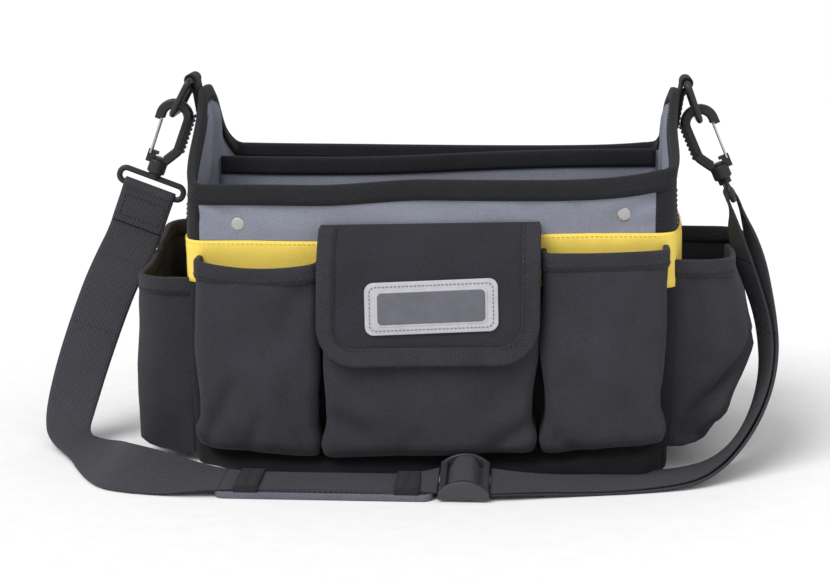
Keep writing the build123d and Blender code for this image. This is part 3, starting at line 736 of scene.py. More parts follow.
def build_lower_shell():
    """The dark cloth behind the pockets, its darkness partly its own and partly painted shade under the
    pockets, and the yellow band along its top.
    """
    loop = plan_loop(BACKING)
    heights = [0.3, 0.3, 1.3, 3.4, 6.5, 9.0, 11.0, 13.0, 16.0, 20.0] + [30.0 + 10.0 * i for i in range(13)]
    pulls = [-7.0, -4.5, -2.0, -0.4] + [0.0] * 19

    def skirt_at(k, z, x, y, nx, ny):
        ripple = 0.8 * wobble(x * MM, y * MM, z * MM, 0.03, 5) if 5 < z < 28 else 0.0
        if ny < -0.9:
            tall = 7 + 9 * ease((x - 50) / 90)
            across = ease((x + HALF_W - 5) / 30) * ease((HALF_W - 2 - x) / 14)
            ripple += FOOT_OUT * across * (1 - ease((z - tall) / 7))
        return on_backing(x, y, nx, ny, z, pulls[k] + ripple)

    skirt = wrapped("lower_cloth", loop, heights, skirt_at)
    add_faces(skirt, range(len(loop)), triangles=True)
    finish(
        thicken(skirt, 0.9 * MM), "skirt", "bag", "charcoal_cloth",
        "base_panel", "front_backing", "back_backing", "left_backing", "right_backing",
    )

    high = BAND_TOP - BAND_LOW
    outs = [0.5, 0.6, 0.6, 0.6, 0.6, 0.6, 0.7, 0.8, 0.7, 0.2]

    def dip(x, y):
        return 1.0 * wobble(x * MM, y * MM, 0, 0.06, 9) + band_rise(x)

    def band_at(k, z, x, y, nx, ny):
        return on_backing(x, y, nx, ny, z + dip(x, y) * (z - BAND_LOW) / high, outs[k])

    band = wrapped("yellow_band", loop, [BAND_LOW + high * i / 9 for i in range(10)], band_at)
    finish(thicken(band, 0.7 * MM), "yellow", "bag", "yellow_cloth")
    line = [on_backing(x, y, nx, ny, BAND_TOP - 2.0 + dip(x, y), 0.78) for x, y, nx, ny in loop]
    normals = [Vector((nx, ny, 0)) for _, _, nx, ny in loop]
    thread = stitches("band_stitching", line + line[:1], normals + normals[:1], radius=0.0002)
    finish(thread, "yellow_thread", "bag", "yellow_cloth")


RIVETS = ((-129.0, 168.0), (129.0, 177.0))  # x and z, the same on the front and the back
RIVET_HEAD = [(4.6, -0.3), (4.6, 0.7), (4.25, 1.1), (3.6, 1.22), (1.8, 1.3)]  # radius, how far out


def build_rivets():
    """Flat rivet heads with a softly rounded edge."""
    verts, faces, n = [], [], 28
    for x, z in RIVETS:
        for side in (-1, 1):
            middle, base = shell_at(x, side * HALF_D, 0, side, z), len(verts)
            for r, out in RIVET_HEAD:
                angles = [tau * i / n for i in range(n)]
                verts += [middle + mm(r * cos(a), side * out, r * sin(a)) for a in angles]
            faces += quads(len(RIVET_HEAD), n, True, base)
            faces += [tuple(range(base, base + n)), tuple(range(len(verts) - n, len(verts)))]
    heads = recalc(new_object("rivet_heads", verts, faces))
    finish(heads, "rivet", "bag", "nickel", "rivets")


def at_corner(k, offset):
    """A place on the plan loop, offset millimetres along it from the middle of corner k."""
    a0 = pi + (k + 0.5) * pi / 2
    half_arc = CORNER * pi / 4
    cx = (-1, 1, 1, -1)[k] * (HALF_W - CORNER)
    cy = (-1, -1, 1, 1)[k] * (HALF_D - CORNER)
    a = a0 + max(-half_arc, min(half_arc, offset)) / CORNER
    over = offset - max(-half_arc, min(half_arc, offset))
    x, y = cx + CORNER * cos(a) - over * sin(a), cy + CORNER * sin(a) + over * cos(a)
    return x, y, cos(a), sin(a)


def build_corners():
    tapes, threads = [], []
    long = 17.0  # how far each tape reaches onto the end; on the front and back it is short
    for k in range(4):
        short = (3.0, 8.5, 8.5, 5.0)[k]
        left, right = (-long, short) if k % 2 == 0 else (-short, long)
        corner_x, corner_y = at_corner(k, 0)[:2]
        foot, peak = BAND_TOP + band_rise(corner_x), RIM + corner_rise(corner_x, corner_y)
        rows = []
        for j in range(9):
            z = mix(foot - 1, peak - 8, j / 8)
            row = []
            for i in range(17):
                offset = mix(left, right, i / 16)
                x, y, nx, ny = at_corner(k, offset)
                lift = 1.0 if 0 < i < 16 else 0.4
                row.append((shell_at(x, y, nx, ny, z, lift), (z * MM, offset * MM)))
            rows.append(row)
        tapes.append(thicken(rows_object("tape", rows), 0.9 * MM))
        for offset in (left + 2.0, right - 2.0):
            x, y, nx, ny = at_corner(k, offset)
            heights = [mix(foot + 1, peak - 13, i / 12) for i in range(13)]
            line = [shell_at(x, y, nx, ny, z, 1.0) for z in heights]
            threads.append(stitches("thread", line, Vector((nx, ny, 0))))
    finish(join("corner_bindings", tapes), "binding", "bag", "black_binding", "corner_bindings")
    finish(join("corner_stitching", threads), "thread", "bag", "black_binding")


def build_inside():
    in_w, in_d = HALF_W - WALL - 0.4, HALF_D - WALL - 0.4

    def floor(u, v):
        x, y = mix(-in_w, in_w, u), mix(-in_d, in_d, v)
        edge = min(u, 1 - u, v * 0.6, (1 - v) * 0.6) * 12
        z = 6.6 + 1.6 * (1 - ease(edge)) + 0.6 * wobble(x * MM, y * MM, 0, 0.07, 2)
        return mm(x, y, z), (x * MM, y * MM)

    lining = thicken(grid("floor_lining", floor, 48, 32), 1.2 * MM)
    finish(lining, "inside", "bag", "shell_grey", "floor_lining")

    reach = HALF_W - WALL - 0.3

    def divider_top(x):
        return 199.5 + 6.5 * ease((x + 80) / 220)

    def divider_y(x, z):
        slack = ease((reach - abs(x)) / 50)
        bow = 3.2 * sin(x * MM * 23 + 0.8) * ease(z / 200) + 2.5 * wobble(x * MM, 0, z * MM, 0.08, 8)
        return slack * bow + 9.0 * ease((x + 60) / 210) * ease(z / 120)

    def panel(u, v):
        x = mix(-reach, reach, u)
        z = mix(7.2, divider_top(x), v)
        return mm(x, divider_y(x, z) - 1.25, z), (x * MM, z * MM)

    divider = thicken(grid("divider", panel, 64, 30), 2.5 * MM)
    finish(divider, "grey", "bag", "shell_grey", "divider")
    xs = [mix(-reach + 2, reach - 2, i / 70) for i in range(71)]
    tops = [mm(x, divider_y(x, divider_top(x)), divider_top(x)) for x in xs]
    out, up = Vector((0, -1, 0)), Vector((0, 0, 1))
    tape = carry("divider_binding", tops, out, up, channel(1.35, 1.3, 11.5))
    finish(tape, "binding", "bag", "black_binding", "divider_binding")
    threads = []
    for side in (1, -1):
        line = [p + mm(0, -2.75 * side, -9.4) for p in tops]
        threads.append(stitches("thread", line, Vector((0, -side, 0))))
    finish(join("divider_stitching", threads), "thread", "bag", "black_binding")


# ---- front, end and back pockets ----------------------------------------------------------------
# name: x0, x1, bottom, top, depth at the top and low down, mouth sag, mouth tilt, how much higher
# the bottom's left and right ends are, folds
FRONT_POCKETS = {
    "front_left_pocket": (
        -156, -72.5, 11, 145.5, 20, 29, 4.5, -0.5, 6.0, 0.0,
        [((-152, 18), (-128, 66), 6, 3.6), ((-78, 16), (-96, 60), 6, 3.4), ((-124, 14), (-110, 44), 5, 2.2),
         ((-146, 128), (-122, 84), 9, 2.6), ((-82, 132), (-100, 92), 9, 2.4),
         ((-140, 30), (-112, 24), 5, 1.8)],
    ),
    "front_middle_pocket": (
        -70.5, 72.5, 11, 146, 20, 31, 1.0, 0.0, 0.0, 6.0,
        [((-64, 44), (-40, 30), 6, 4.2), ((-52, 70), (-34, 52), 8, 2.4), ((68, 40), (40, 22), 5, 4.6),
         ((56, 66), (38, 48), 8, 2.6), ((30, 14), (60, 18), 4, 2.6), ((-22, 14), (-4, 34), 6, 2.0)],
    ),
    "front_right_pocket": (
        75, 158, 11, 155, 20, 30, 0.8, 1.6, 5.0, 13.0,
        [((82, 34), (106, 20), 5, 4.0), ((84, 60), (100, 78), 7, 2.6), ((154, 20), (130, 60), 6, 3.4),
         ((112, 16), (138, 30), 5, 2.6), ((86, 136), (106, 98), 9, 2.4), ((150, 138), (132, 98), 9, 2.4)],
    ),
}
SIDE_CELLS, ARC_CELLS, FRONT_CELLS = 8, 7, 34


def front_outline(x0, x1, depth, radius, bulge):
    """Plan outline of a front pocket: (x, y, outward x, outward y), from its left seam to its right."""
    y = -HALF_D - BACKING
    out = [(x0, y - (depth - radius) * i / SIDE_CELLS, -1.0, 0.0) for i in range(SIDE_CELLS)]
    out += arc(x0 + radius, y - depth + radius, radius, pi, ARC_CELLS)
    for i in range(FRONT_CELLS):
        t = i / FRONT_CELLS
        out.append((mix(x0 + radius, x1 - radius, t), y - depth - bulge * sin(pi * t) ** 0.8, 0.0, -1.0))
    out += arc(x1 - radius, y - depth + radius, radius, -pi / 2, ARC_CELLS)
    sides = [1 - i / SIDE_CELLS for i in range(SIDE_CELLS + 1)]
    return out + [(x1, y - (depth - radius) * share, 1.0, 0.0) for share in sides]


def pocket_rows(outline_at, levels, cloth_at, top_at):
    """Rows of a pocket from its bottom's inner edge out and up to its mouth."""
    rows = []
    for t in levels:
        outline = outline_at(t)
        row, s = [], 0.0
        for i, (x, y, nx, ny) in enumerate(outline):
            if i:
                s += hypot(x - outline[i - 1][0], y - outline[i - 1][1])
            z = top_at(t, x, y, i / (len(outline) - 1))
            row.append((cloth_at(t, x, y, nx, ny, z, s), (s * MM, z * MM)))
        rows.append(row)
    return rows


def mouth_tape(name, row, outwards, high=MOUTH_TAPE):
    """The folded tape and its stitches round a pocket's mouth. row gives the mouth's outer edge."""
    points = [p for p, _ in row]
    directions = tangents(points)
    outs = []
    for d, hint in zip(directions, each(outwards, row)):
        out = Vector((0, 0, 1)).cross(d).normalized()
        outs.append(out if out.dot(hint) > 0 else -out)
    ups = [d.cross(o).normalized() for d, o in zip(directions, outs)]
    ups = [u if u.z > 0 else -u for u in ups]
    middles = [p - o * CLOTH / 2 * MM for p, o in zip(points, outs)]
    tape = carry(name, middles, outs, ups, channel(CLOTH / 2 + 0.1, 1.0, high))
    line = [p + o * 1.15 * MM - u * (high - 2.2) * MM for p, o, u in zip(points, outs, ups)]
    return tape, stitches(name.replace("binding", "stitching"), line[1:-1], outs[1:-1])


def finish_pocket(name, sheet, mouth, outs, offset=-1.0):
    """The pocket's cloth, with the tape and stitches round its mouth."""
    finish(thicken(sheet, CLOTH * MM, offset), "cloth", "bag", "charcoal_cloth", name)
    tape, thread = mouth_tape(f"{name}_binding", mouth, outs)
    finish(tape, "pocket_binding", "bag", "black_binding", f"{name}_binding")
    finish(thread, "thread", "bag", "black_binding")


UNDER = 0.14  # levels from -UNDER to 0 go under a pocket, and those from 0 to 1 go up it
POCKET_LEVELS = [-UNDER, -0.11, -0.075, -0.045, -0.02, 0.0] + [i / 26 for i in range(1, 27)]


def front_pocket(name):
    x0, x1, bottom, top, d_top, d_low, sag, tilt, left_up, right_up, folds = FRONT_POCKETS[name]
    middle, half = (x0 + x1) / 2, (x1 - x0) / 2
    hem = 12.0

    def outline_at(t):
        if t < 0:  # under the pocket, from the backing out to the hem's curve
            k = 1 + t / UNDER
            depth = mix(6.0, d_low - 1.0, sin(k * pi / 2))
            return front_outline(x0 + 2 * (1 - k), x1 - 2 * (1 - k), depth, min(9.0, depth / 2), 1.5 * k)
        depth = mix(d_low, d_top, ease(t) * 0.55 + t * 0.45)
        belly = sin(pi * min(t * 0.95 + 0.12, 1.0)) ** 0.8
        pinch = 2.6 * ease(t / 0.16) * (1 - ease((t - 0.24) / 0.3)) - 1.2 * (1 - ease(t / 0.12))
        return front_outline(x0 + pinch, x1 - pinch, depth, mix(10.0, 7.0, t), 1.0 + 3.0 * belly)

    def top_at(t, x, y, s):
        across = (x - middle) / half
        raised = mix(left_up, right_up, (x - x0) / (x1 - x0)) * (1 - ease(t / 0.4))
        if t < 0:
            return bottom + hem * (1 - cos((1 + t / UNDER) * pi / 2)) * 0.75 + raised
        lip = raised - sag * (1 - across * across) * ease((t - 0.55) / 0.45) + tilt * across * t
        lip += 3.0 * abs(across) ** 5 * (1 - ease(t / 0.2))
        return mix(bottom + hem * 0.75, top, t) + lip

    def cloth_at(t, x, y, nx, ny, z, s):
        near = ease((-HALF_D - BACKING - y) / 8)
        press = sum(crease(x, z, *fold) for fold in folds) * (1 if ny < -0.3 else 0.3)
        slack = slack_at(x, y, z, (2.0, 0.045), (0.7, 0.018), 11)
        out = near * (slack * ease((1.08 - t) / 0.3) - press)
        return mm(x + nx * out, y + ny * out, z)

    rows = pocket_rows(outline_at, POCKET_LEVELS, cloth_at, top_at)
    outs = [Vector((nx, ny, 0)) for _, _, nx, ny in outline_at(1.0)]
    finish_pocket(name, rows_object(name, rows), rows[-1], outs)


REACH_Y = (-93.0, -40.0, 14.0, 38.0, 93.0)
END_POCKETS = {
    # side, [(height, reach at each of REACH_Y)], how much higher the mouth is at each of REACH_Y,
    # and folds by the cloth's length round the pocket and its height
    "left_end_pocket": (
        -1,
        [(7.0, (42.0, 42, 42, 42, 42)), (60.0, (43.0, 44, 45, 46, 46)), (126.0, (40.0, 41.0, 44, 47, 49))],
        (3.0, 2.0, 3.0, 5.5, 13.0),
        [((10, 20), (26, 60), 8, 1.8), ((150, 16), (132, 60), 8, 3.0), ((60, 118), (80, 70), 9, 2.0),
         ((120, 116), (104, 60), 9, 2.2)],
    ),
    "right_end_pocket": (
        1,
        [(17.0, (30.0, 32, 34, 34, 32)), (33.0, (41.0, 45, 47, 47, 43)), (76.0, (54.0, 62, 66, 66, 61)),
         (147.0, (42.5, 46, 48, 60, 67))],
        (-2.0, -4.0, -10.0, -20.0, -10.0),
        [((70, 88), (20, 46), 5, 10.0), ((20, 46), (12, 24), 6, 7.0), ((40, 50), (30, 36), 8, -2.5),
         ((40, 30), (14, 22), 4, 3.0), ((40, 138), (30, 96), 8, 3.0), ((16, 130), (22, 70), 7, 2.4),
         ((110, 128), (96, 84), 8, 3.0), ((170, 24), (150, 66), 8, 3.0)],
    ),
}


def smooth_reach(levels, z, y):
    """How far an end pocket stands out at that height and depth."""
    (z0, low), (z1, high) = next(((a, b) for a, b in zip(levels, levels[1:]) if z <= b[0]), levels[-2:])
    t = min(max((z - z0) / (z1 - z0), 0.0), 1.0)
    t = 0.7 * t + 0.3 * ease(t)
    y = min(max(y, REACH_Y[0]), REACH_Y[-1])
    i = next(k for k in range(4) if y <= REACH_Y[k + 1] + 1e-6)
    s = ease((y - REACH_Y[i]) / (REACH_Y[i + 1] - REACH_Y[i]))
    return mix(mix(low[i], low[i + 1], s), mix(high[i], high[i + 1], s), t)


def end_pocket(name):
    side, levels, rises, folds = END_POCKETS[name]
    bottom, top = levels[0][0], levels[-1][0]
    base = HALF_W + BACKING
    cells = 44

    def outline_at(t):
        z = mix(bottom, top, max(t, 0.0))
        squeeze = 1.0 if t >= 0 else mix(0.2, 0.97, sin((1 + t / UNDER) * pi / 2))
        radius = mix(15.0, 22.0, max(t, 0.0)) * squeeze
        front, back = REACH_Y[0], REACH_Y[-1]
        # each as the share of the straight side's reach, how far past that, y, and the way out
        flat = [(i / 7, 0, front, 0, -1.0) for i in range(7)]
        flat += [(1, *place) for place in arc(0, front + radius, radius, -pi / 2, 8)]
        flat += [(1, radius, mix(front + radius, back - radius, i / cells), 1.0, 0.0) for i in range(cells)]
        flat += [(1, *place) for place in arc(0, back - radius, radius, 0, 8)]
        flat += [(1 - i / 7, 0, back, 0, 1.0) for i in range(8)]
        out = []
        for share, extra, y, nx, ny in flat:
            reach = smooth_reach(levels, z, y) * squeeze
            out.append((side * (base + (reach - radius) * share + extra), y, side * nx, ny))
        return out

    def top_at(t, x, y, s):
        if t < 0:
            return bottom + 8.0 * (1 - cos((1 + t / UNDER) * pi / 2))
        rise = smooth_reach([(0.0, rises), (1.0, rises)], 0.5, y)
        return mix(bottom + 8.0, top, t) + rise * ease((t - 0.3) / 0.7)

    def cloth_at(t, x, y, nx, ny, z, s):
        near = ease((abs(x) - base) / 9)
        press = sum(crease(s, z, *fold) for fold in folds)
        slack = slack_at(x, y, z, (2.0, 0.06), (0.6, 0.02), 21)
        out = near * (slack * ease((1.1 - t) / 0.3) - press)
        return mm(x + nx * out, y + ny * out, z)

    rows = pocket_rows(outline_at, POCKET_LEVELS, cloth_at, top_at)
    outs = [Vector((nx, ny, 0)) for _, _, nx, ny in outline_at(1.0)]
    finish_pocket(name, rows_object(name, rows), rows[-1], outs, -1.0 if side > 0 else 1.0)


def back_pocket():
    """A shallow sleeve across the back, sewn down along two seams."""
    half, bottom, top, deep = 150.0, 9.0, 140.0, 13.0
    seams = (-half, -50.0, 50.0, half)
    base = HALF_D + BACKING

    def out_at(x, t):
        x0, x1 = next((a, b) for a, b in zip(seams, seams[1:]) if x <= b + 1e-6)
        s = (x - x0) / (x1 - x0)
        body = (1 - abs(2 * s - 1) ** 5) * mix(0.94, 1.0, sin(pi * t))
        return 1.0 + (deep - 1.5) * body * ease((t + 0.02) / 0.12)

    def sheet(u, v):
        x = mix(-half, half, u)
        sag = 2.2 * sum(2.718 ** (-(((x - c) / 30) ** 2)) for c in (-100, 0, 100)) * v
        z = mix(bottom, top, v) - sag
        slack = 1.4 * wobble(x * MM, 0, z * MM, 0.04, 31) * ease((1.1 - v) / 0.3)
        return mm(x, base + out_at(x, v) + slack * ease(v / 0.2), z), (x * MM, z * MM)

    columns, rows = 120, 36
    mouth = [sheet(i / columns, 1.0) for i in range(columns + 1)]
    cloth = grid("back_pocket", sheet, columns, rows)
    finish_pocket("back_pocket", cloth, mouth, Vector((0, 1, 0)), 1.0)
    lines = []
    for x in (-51.2, -48.8, 48.8, 51.2):
        line = [sheet((x + half) / (2 * half), i / 30)[0] + mm(0, 0.1, 0) for i in range(1, 28)]
        lines.append(stitches("thread", line, Vector((0, 1, 0))))
    finish(join("back_seam_stitching", lines), "light_thread", "bag", "charcoal_cloth")


# ---- flap and label -----------------------------------------------------------------------------
FLAP_X, FLAP_HALF, FLAP_ROUND = 0.2, 73.0, 26.0
FLAP_CLOTH, FLAP_TAPE = 2.4, 1.0
FLAP_SKEW = 0.026  # it is sewn on slightly askew, its left side lower
FLAP_LINE = [  # (y, z) of the outer face, from the hinge down to the hem
    (-103.4, 172.6), (-110.5, 169.6), (-119.5, 161.5), (-126.2, 152.0), (-129.2, 139.0),
    (-130.6, 124.0), (-131.9, 106.0), (-134.4, 91.0), (-136.8, 83.5),
]


def flap_line():
    """The flap's section as even steps down it, and its length in millimetres."""
    points, _ = smooth_line([(mm(0, y, z), Vector((1, 0, 0))) for y, z in FLAP_LINE], 61)
    return points, length_of(points) / MM


FLAP_POINTS, FLAP_LONG = flap_line()


def flap_at(x, t, out=0.0):
    """The flap's outer face, x across and t down it in millimetres, with the way out of it."""
    k = min(max(t / FLAP_LONG, 0), 1) * (len(FLAP_POINTS) - 1)
    i = min(int(k), len(FLAP_POINTS) - 2)
    point = FLAP_POINTS[i].lerp(FLAP_POINTS[i + 1], k - i)
    j = min(max(i, 1), len(FLAP_POINTS) - 3)
    down = (FLAP_POINTS[j + 2] - FLAP_POINTS[j - 1]).normalized()
    normal = down.cross(Vector((1, 0, 0))).normalized()
    normal = normal if normal.y < 0 else -normal
    edge = (x - FLAP_X) / FLAP_HALF
    free = ease(t / FLAP_LONG)
    bow = -1.5 * abs(edge) ** 3 * free + 0.9 * free * wobble(x * MM, 0, t * MM, 0.05, 41)
    kick = 1.6 * ease((t - FLAP_LONG + 16) / 16) * (1 - edge * edge) ** 0.5 if abs(edge) < 1 else 0.0
    askew = (x - FLAP_X - FLAP_HALF) * FLAP_SKEW
    return point + mm(x, 0, askew) + normal * (out + bow + kick) * MM, normal


def flap_edge(inset=0.0, count=120):
    """(x, t) round the flap's free edge, from its top left, down, along the hem and up again."""
    x0, x1 = FLAP_X - FLAP_HALF + inset, FLAP_X + FLAP_HALF - inset
    low, r = FLAP_LONG - inset, FLAP_ROUND - inset
    line = [(x0, 4.0), (x0, 30.0), (x0, low - r - 1)]
    line += [(x0 + r - r * cos(pi / 2 * i / 12), low - r + r * sin(pi / 2 * i / 12)) for i in range(13)]
    line += [(x1 - r + r * sin(pi / 2 * i / 12), low - r + r * cos(pi / 2 * i / 12)) for i in range(13)]
    line += [(x1, low - r - 1), (x1, 30.0), (x1, 4.0)]
    return [(p.x, p.y) for p in even([Vector((x, t, 0)) for x, t in line], count)]


def bend_at_seam(obj):
    """Bakes the placement of a piece of the flap, which is sewn on at its top, into its mesh."""
    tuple(flap_at(FLAP_X, 1.5)[0])
    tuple(flap_at(FLAP_X, 15.0)[0])
    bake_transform(obj)


def build_flap():
    columns = 56

    def cloth(u, v):
        t = v * FLAP_LONG
        over = t - (FLAP_LONG - FLAP_ROUND)
        half = FLAP_HALF if over <= 0 else FLAP_HALF - FLAP_ROUND + sqrt(max(FLAP_ROUND ** 2 - over ** 2, 0))
        x = FLAP_X + mix(-half, half, u)
        return flap_at(x, t)[0], (x * MM, t * MM)

    sheet = grid("flap", cloth, columns, 48)
    flap = thicken(sheet, FLAP_CLOTH * MM, 1.0)
    finish(flap, "flap", None, "charcoal_cloth", "flap")
    bend_at_seam(flap)

    edge = flap_edge()
    placed = [flap_at(x, t, -FLAP_CLOTH / 2) for x, t in edge]
    points = [p for p, _ in placed]
    normals = [n for _, n in placed]
    ups = [(d.cross(n)).normalized() for d, n in zip(tangents(points), normals)]
    middle = flap_at(FLAP_X, FLAP_LONG * 0.6)[0]
    ups = [u if u.dot(p - middle) > 0 else -u for u, p in zip(ups, points)]
    tape = carry("flap_binding", points, normals, ups, channel(FLAP_CLOTH / 2 + 0.1, FLAP_TAPE, 11.5))
    finish(tape, "pocket_binding", None, "black_binding", "flap_binding")
    bend_at_seam(tape)
    inner = [flap_at(x, t, FLAP_TAPE + 0.2) for x, t in flap_edge(9.8, 110)]
    thread = stitches("flap_stitching", [p for p, _ in inner], [n for _, n in inner])
    finish(thread, "thread", None, "black_binding")
    bend_at_seam(thread)

    def hem(u, v):
        x = mix(FLAP_X - FLAP_HALF, FLAP_X + FLAP_HALF, u)
        z = mix(158.5, 172.0, v) + (x - FLAP_X - FLAP_HALF) * FLAP_SKEW
        return shell_at(x, -HALF_D, 0, -1, z, 2.5), (x * MM, z * MM)

    strip = thicken(grid("flap_hem", hem, 50, 5), 2.3 * MM)
    finish(strip, "flap", "bag", "charcoal_cloth", "flap_hem")


LABEL_X, LABEL_T = FLAP_X + 2.5, FLAP_LONG - 38.5
LABEL_TURN = radians(1.6)


def on_label(x, up, out):
    """A place on the label, from its middle; the label is turned a little and follows the flap."""
    c, s = cos(LABEL_TURN), sin(LABEL_TURN)
    return flap_at(LABEL_X + x * c - up * s, LABEL_T - (x * s + up * c), out)[0]


def rounded_outline(wide, high, radius, cells=7):
    out = []
    for k, (sx, sy) in enumerate(((1, 1), (-1, 1), (-1, -1), (1, -1))):
        out += arc(sx * (wide / 2 - radius), sy * (high / 2 - radius), radius, k * pi / 2, cells, True)
    return [(x, y) for x, y, _, _ in out]


def moulded_plate(name, wide, high, radius, low, top, edge):
    """A round-edged plate on the label, its face a grid of rings so that it follows the flap."""
    rings = [(0.0, low), (0.0, top - edge)]
    turns = [pi / 2 * i / 4 for i in range(1, 5)]
    rings += [(edge * (1 - cos(a)), top - edge + edge * sin(a)) for a in turns]
    rings += [(mix(edge, high / 2 - 0.4, i / 6), top) for i in range(1, 7)]
    rows = []
    for inset, out in rings:
        r = max(radius - inset, 0.15)
        outline = rounded_outline(wide - 2 * inset, high - 2 * inset, r)
        rows.append([(on_label(x, up, out), (x * MM, up * MM)) for x, up in outline])
    obj = rows_object(name, rows, 1.0)
    n, count = len(rows[0]), len(obj.data.vertices)
    add_faces(obj, range(n), range(count - n, count))
    return recalc(obj)


# each part of the label: its width, height, corner radius, lower and upper face, and rounded edge
LABEL_PLATES = {
    "label": (88.0, 35.0, 6.0, -0.2, 1.7, 0.7),
    "label_rim": (74.0, 24.0, 4.0, 1.4, 2.1, 0.35),
    "label_inlay": (71.0, 21.0, 3.0, 1.6, 2.5, 0.3),
}


def build_label():
    plate, rim, inlay = (moulded_plate(name, *sizes) for name, sizes in LABEL_PLATES.items())
    finish(plate, "rubber", "flap", "label_rubber", "label")
    finish(rim, "rubber", "flap", "label_rubber")
    finish(inlay, "inlay", "flap", "label_inlay", "label_inlay")
    outline = rounded_outline(81.5, 29.0, 4.0, 5)
    line = [on_label(x, up, 1.75) for x, up in outline + outline[:1]]
    rows = stitches("label_stitching", line, Vector((0, -1, 0.05)).normalized(), 0.0026, 0.0018, 0.0003)
    finish(rows, "grey_thread", "flap", "label_rubber")


# ---- tabs, rings and hooks ----------------------------------------------------------------------
HOOKS = {"left": (-1, radians(28.0), radians(20.0)), "right": (1, radians(20.0), radians(24.0))}
WIRE, RING_HIGH = 2.25, 27.0
TAB_OUT, TAB_UP = 6.1, 59.0  # the tab's loop, out from the end panel and up from the rim
TAB_X = HALF_W + TAB_OUT * cos(LEAN) + TAB_UP * sin(LEAN)
TAB_Z = RIM + TAB_UP * cos(LEAN) - TAB_OUT * sin(LEAN)
BAR_LOW = -60.0


def on_hook(name, x, y, z):
    """A point given in a hook's own frame: x outwards, z up along it from the ring's lower bar."""
    side, ring, tilt = HOOKS[name]
    ox, oz = TAB_X + RING_HIGH * sin(ring), TAB_Z - RING_HIGH * cos(ring)
    return mm(side * (ox + x * cos(tilt) - z * sin(tilt)), y, oz + x * sin(tilt) + z * cos(tilt))


def build_tab(name):
    side = HOOKS[name][0]
    r = WIRE + 0.45 + 0.9

    def place(out, up):
        return mm(
            side * (HALF_W + out * cos(LEAN) + up * sin(LEAN)), 0, RIM + up * cos(LEAN) - out * sin(LEAN),
        )

    line = [place(2.7, TAB_UP - 34), place(2.7, TAB_UP - 20), place(2.8, TAB_UP - 8)]
    for i in range(13):
        a = pi + radians(30) - (pi + radians(60)) * i / 12
        line.append(place(TAB_OUT + r * cos(a), TAB_UP + r * sin(a)))
    line += [place(4.8, TAB_UP - 9), place(4.5, TAB_UP - 20), place(4.5, TAB_UP - 32)]
    tab = flat_band(f"{name}_tab", even(line, 70), Vector((0, 1, 0)), 0.024, 0.0017, 10)
    finish(tab, "tab", "bag", "black_binding", f"{name}_tab")
    box = [(-9.0, 10.0), (9.0, 10.0), (9.0, 30.0), (-9.0, 30.0), (-9.0, 10.0), (9.0, 30.0)]
    rows = box_stitches(box, lambda y, d: place(5.45, TAB_UP - d) + mm(0, y, 0), Vector((side, 0, -0.14)))
    finish(join(f"{name}_tab_stitching", rows), "thread", "bag", "black_binding")


def build_hook_ribs(name):
    """The grip teeth along a hook's back and the raised rib down its side."""
    verts, faces = [], []
    for z in [mix(-25.0, 2.0, i / 8) for i in range(9)]:
        base = len(verts)
        for dz, lift in ((-1.25, 0.0), (-0.5, 1.15), (0.5, 1.15), (1.25, 0.0)):
            for y, drop in ((-3.0, 0.55), (-2.2, 0.0), (0.0, 0.0), (2.2, 0.0), (3.0, 0.55)):
                reach = lift - (drop if lift else 0.0)
                verts.append(on_hook(name, -13.85 - max(reach, -0.05), y, z + dz))
        b = len(verts)
        verts += [on_hook(name, -13.2, y, z + dz) for dz in (-1.25, 1.25) for y in (-3.0, 3.0)]
        faces += quads(4, 5, False, base) + [
            (b, b + 1, b + 3, b + 2),
            (*range(base, base + 5), b + 1, b),
            (*range(base + 15, base + 20), b + 3, b + 2),
            (*range(base, base + 20, 5), b + 2, b),
            (*range(base + 4, base + 20, 5), b + 3, b + 1),
        ]
    ribs = recalc(new_object(f"{name}_hook_teeth", verts, faces, None, False))
    finish(ribs, "plastic", f"{name}_hook", "black_plastic")
    rows = []
    for y in (-3.62, 3.62):
        line = [on_hook(name, -10.5, y, mix(-24, 4, i / 12)) for i in range(13)]
        side = (on_hook(name, 1, 0, 0) - on_hook(name, 0, 0, 0)).normalized()
        up = Vector((0, 1 if y > 0 else -1, 0))
        rows.append(carry("rib", line, side, up, flat_section(0.0022, 0.0007, cells=3)))
    finish(join(f"{name}_hook_rib", rows), "plastic", f"{name}_hook", "black_plastic")


# ---- shoulder strap -----------------------------------------------------------------------------
STRAP_WIDE, STRAP_THICK = 0.038, 0.0016


def stop(x, y, z, ax, ay, az):
    """A control point of the strap in metres, with the direction across it."""
    return mm(x, y, z), Vector((ax, ay, az))


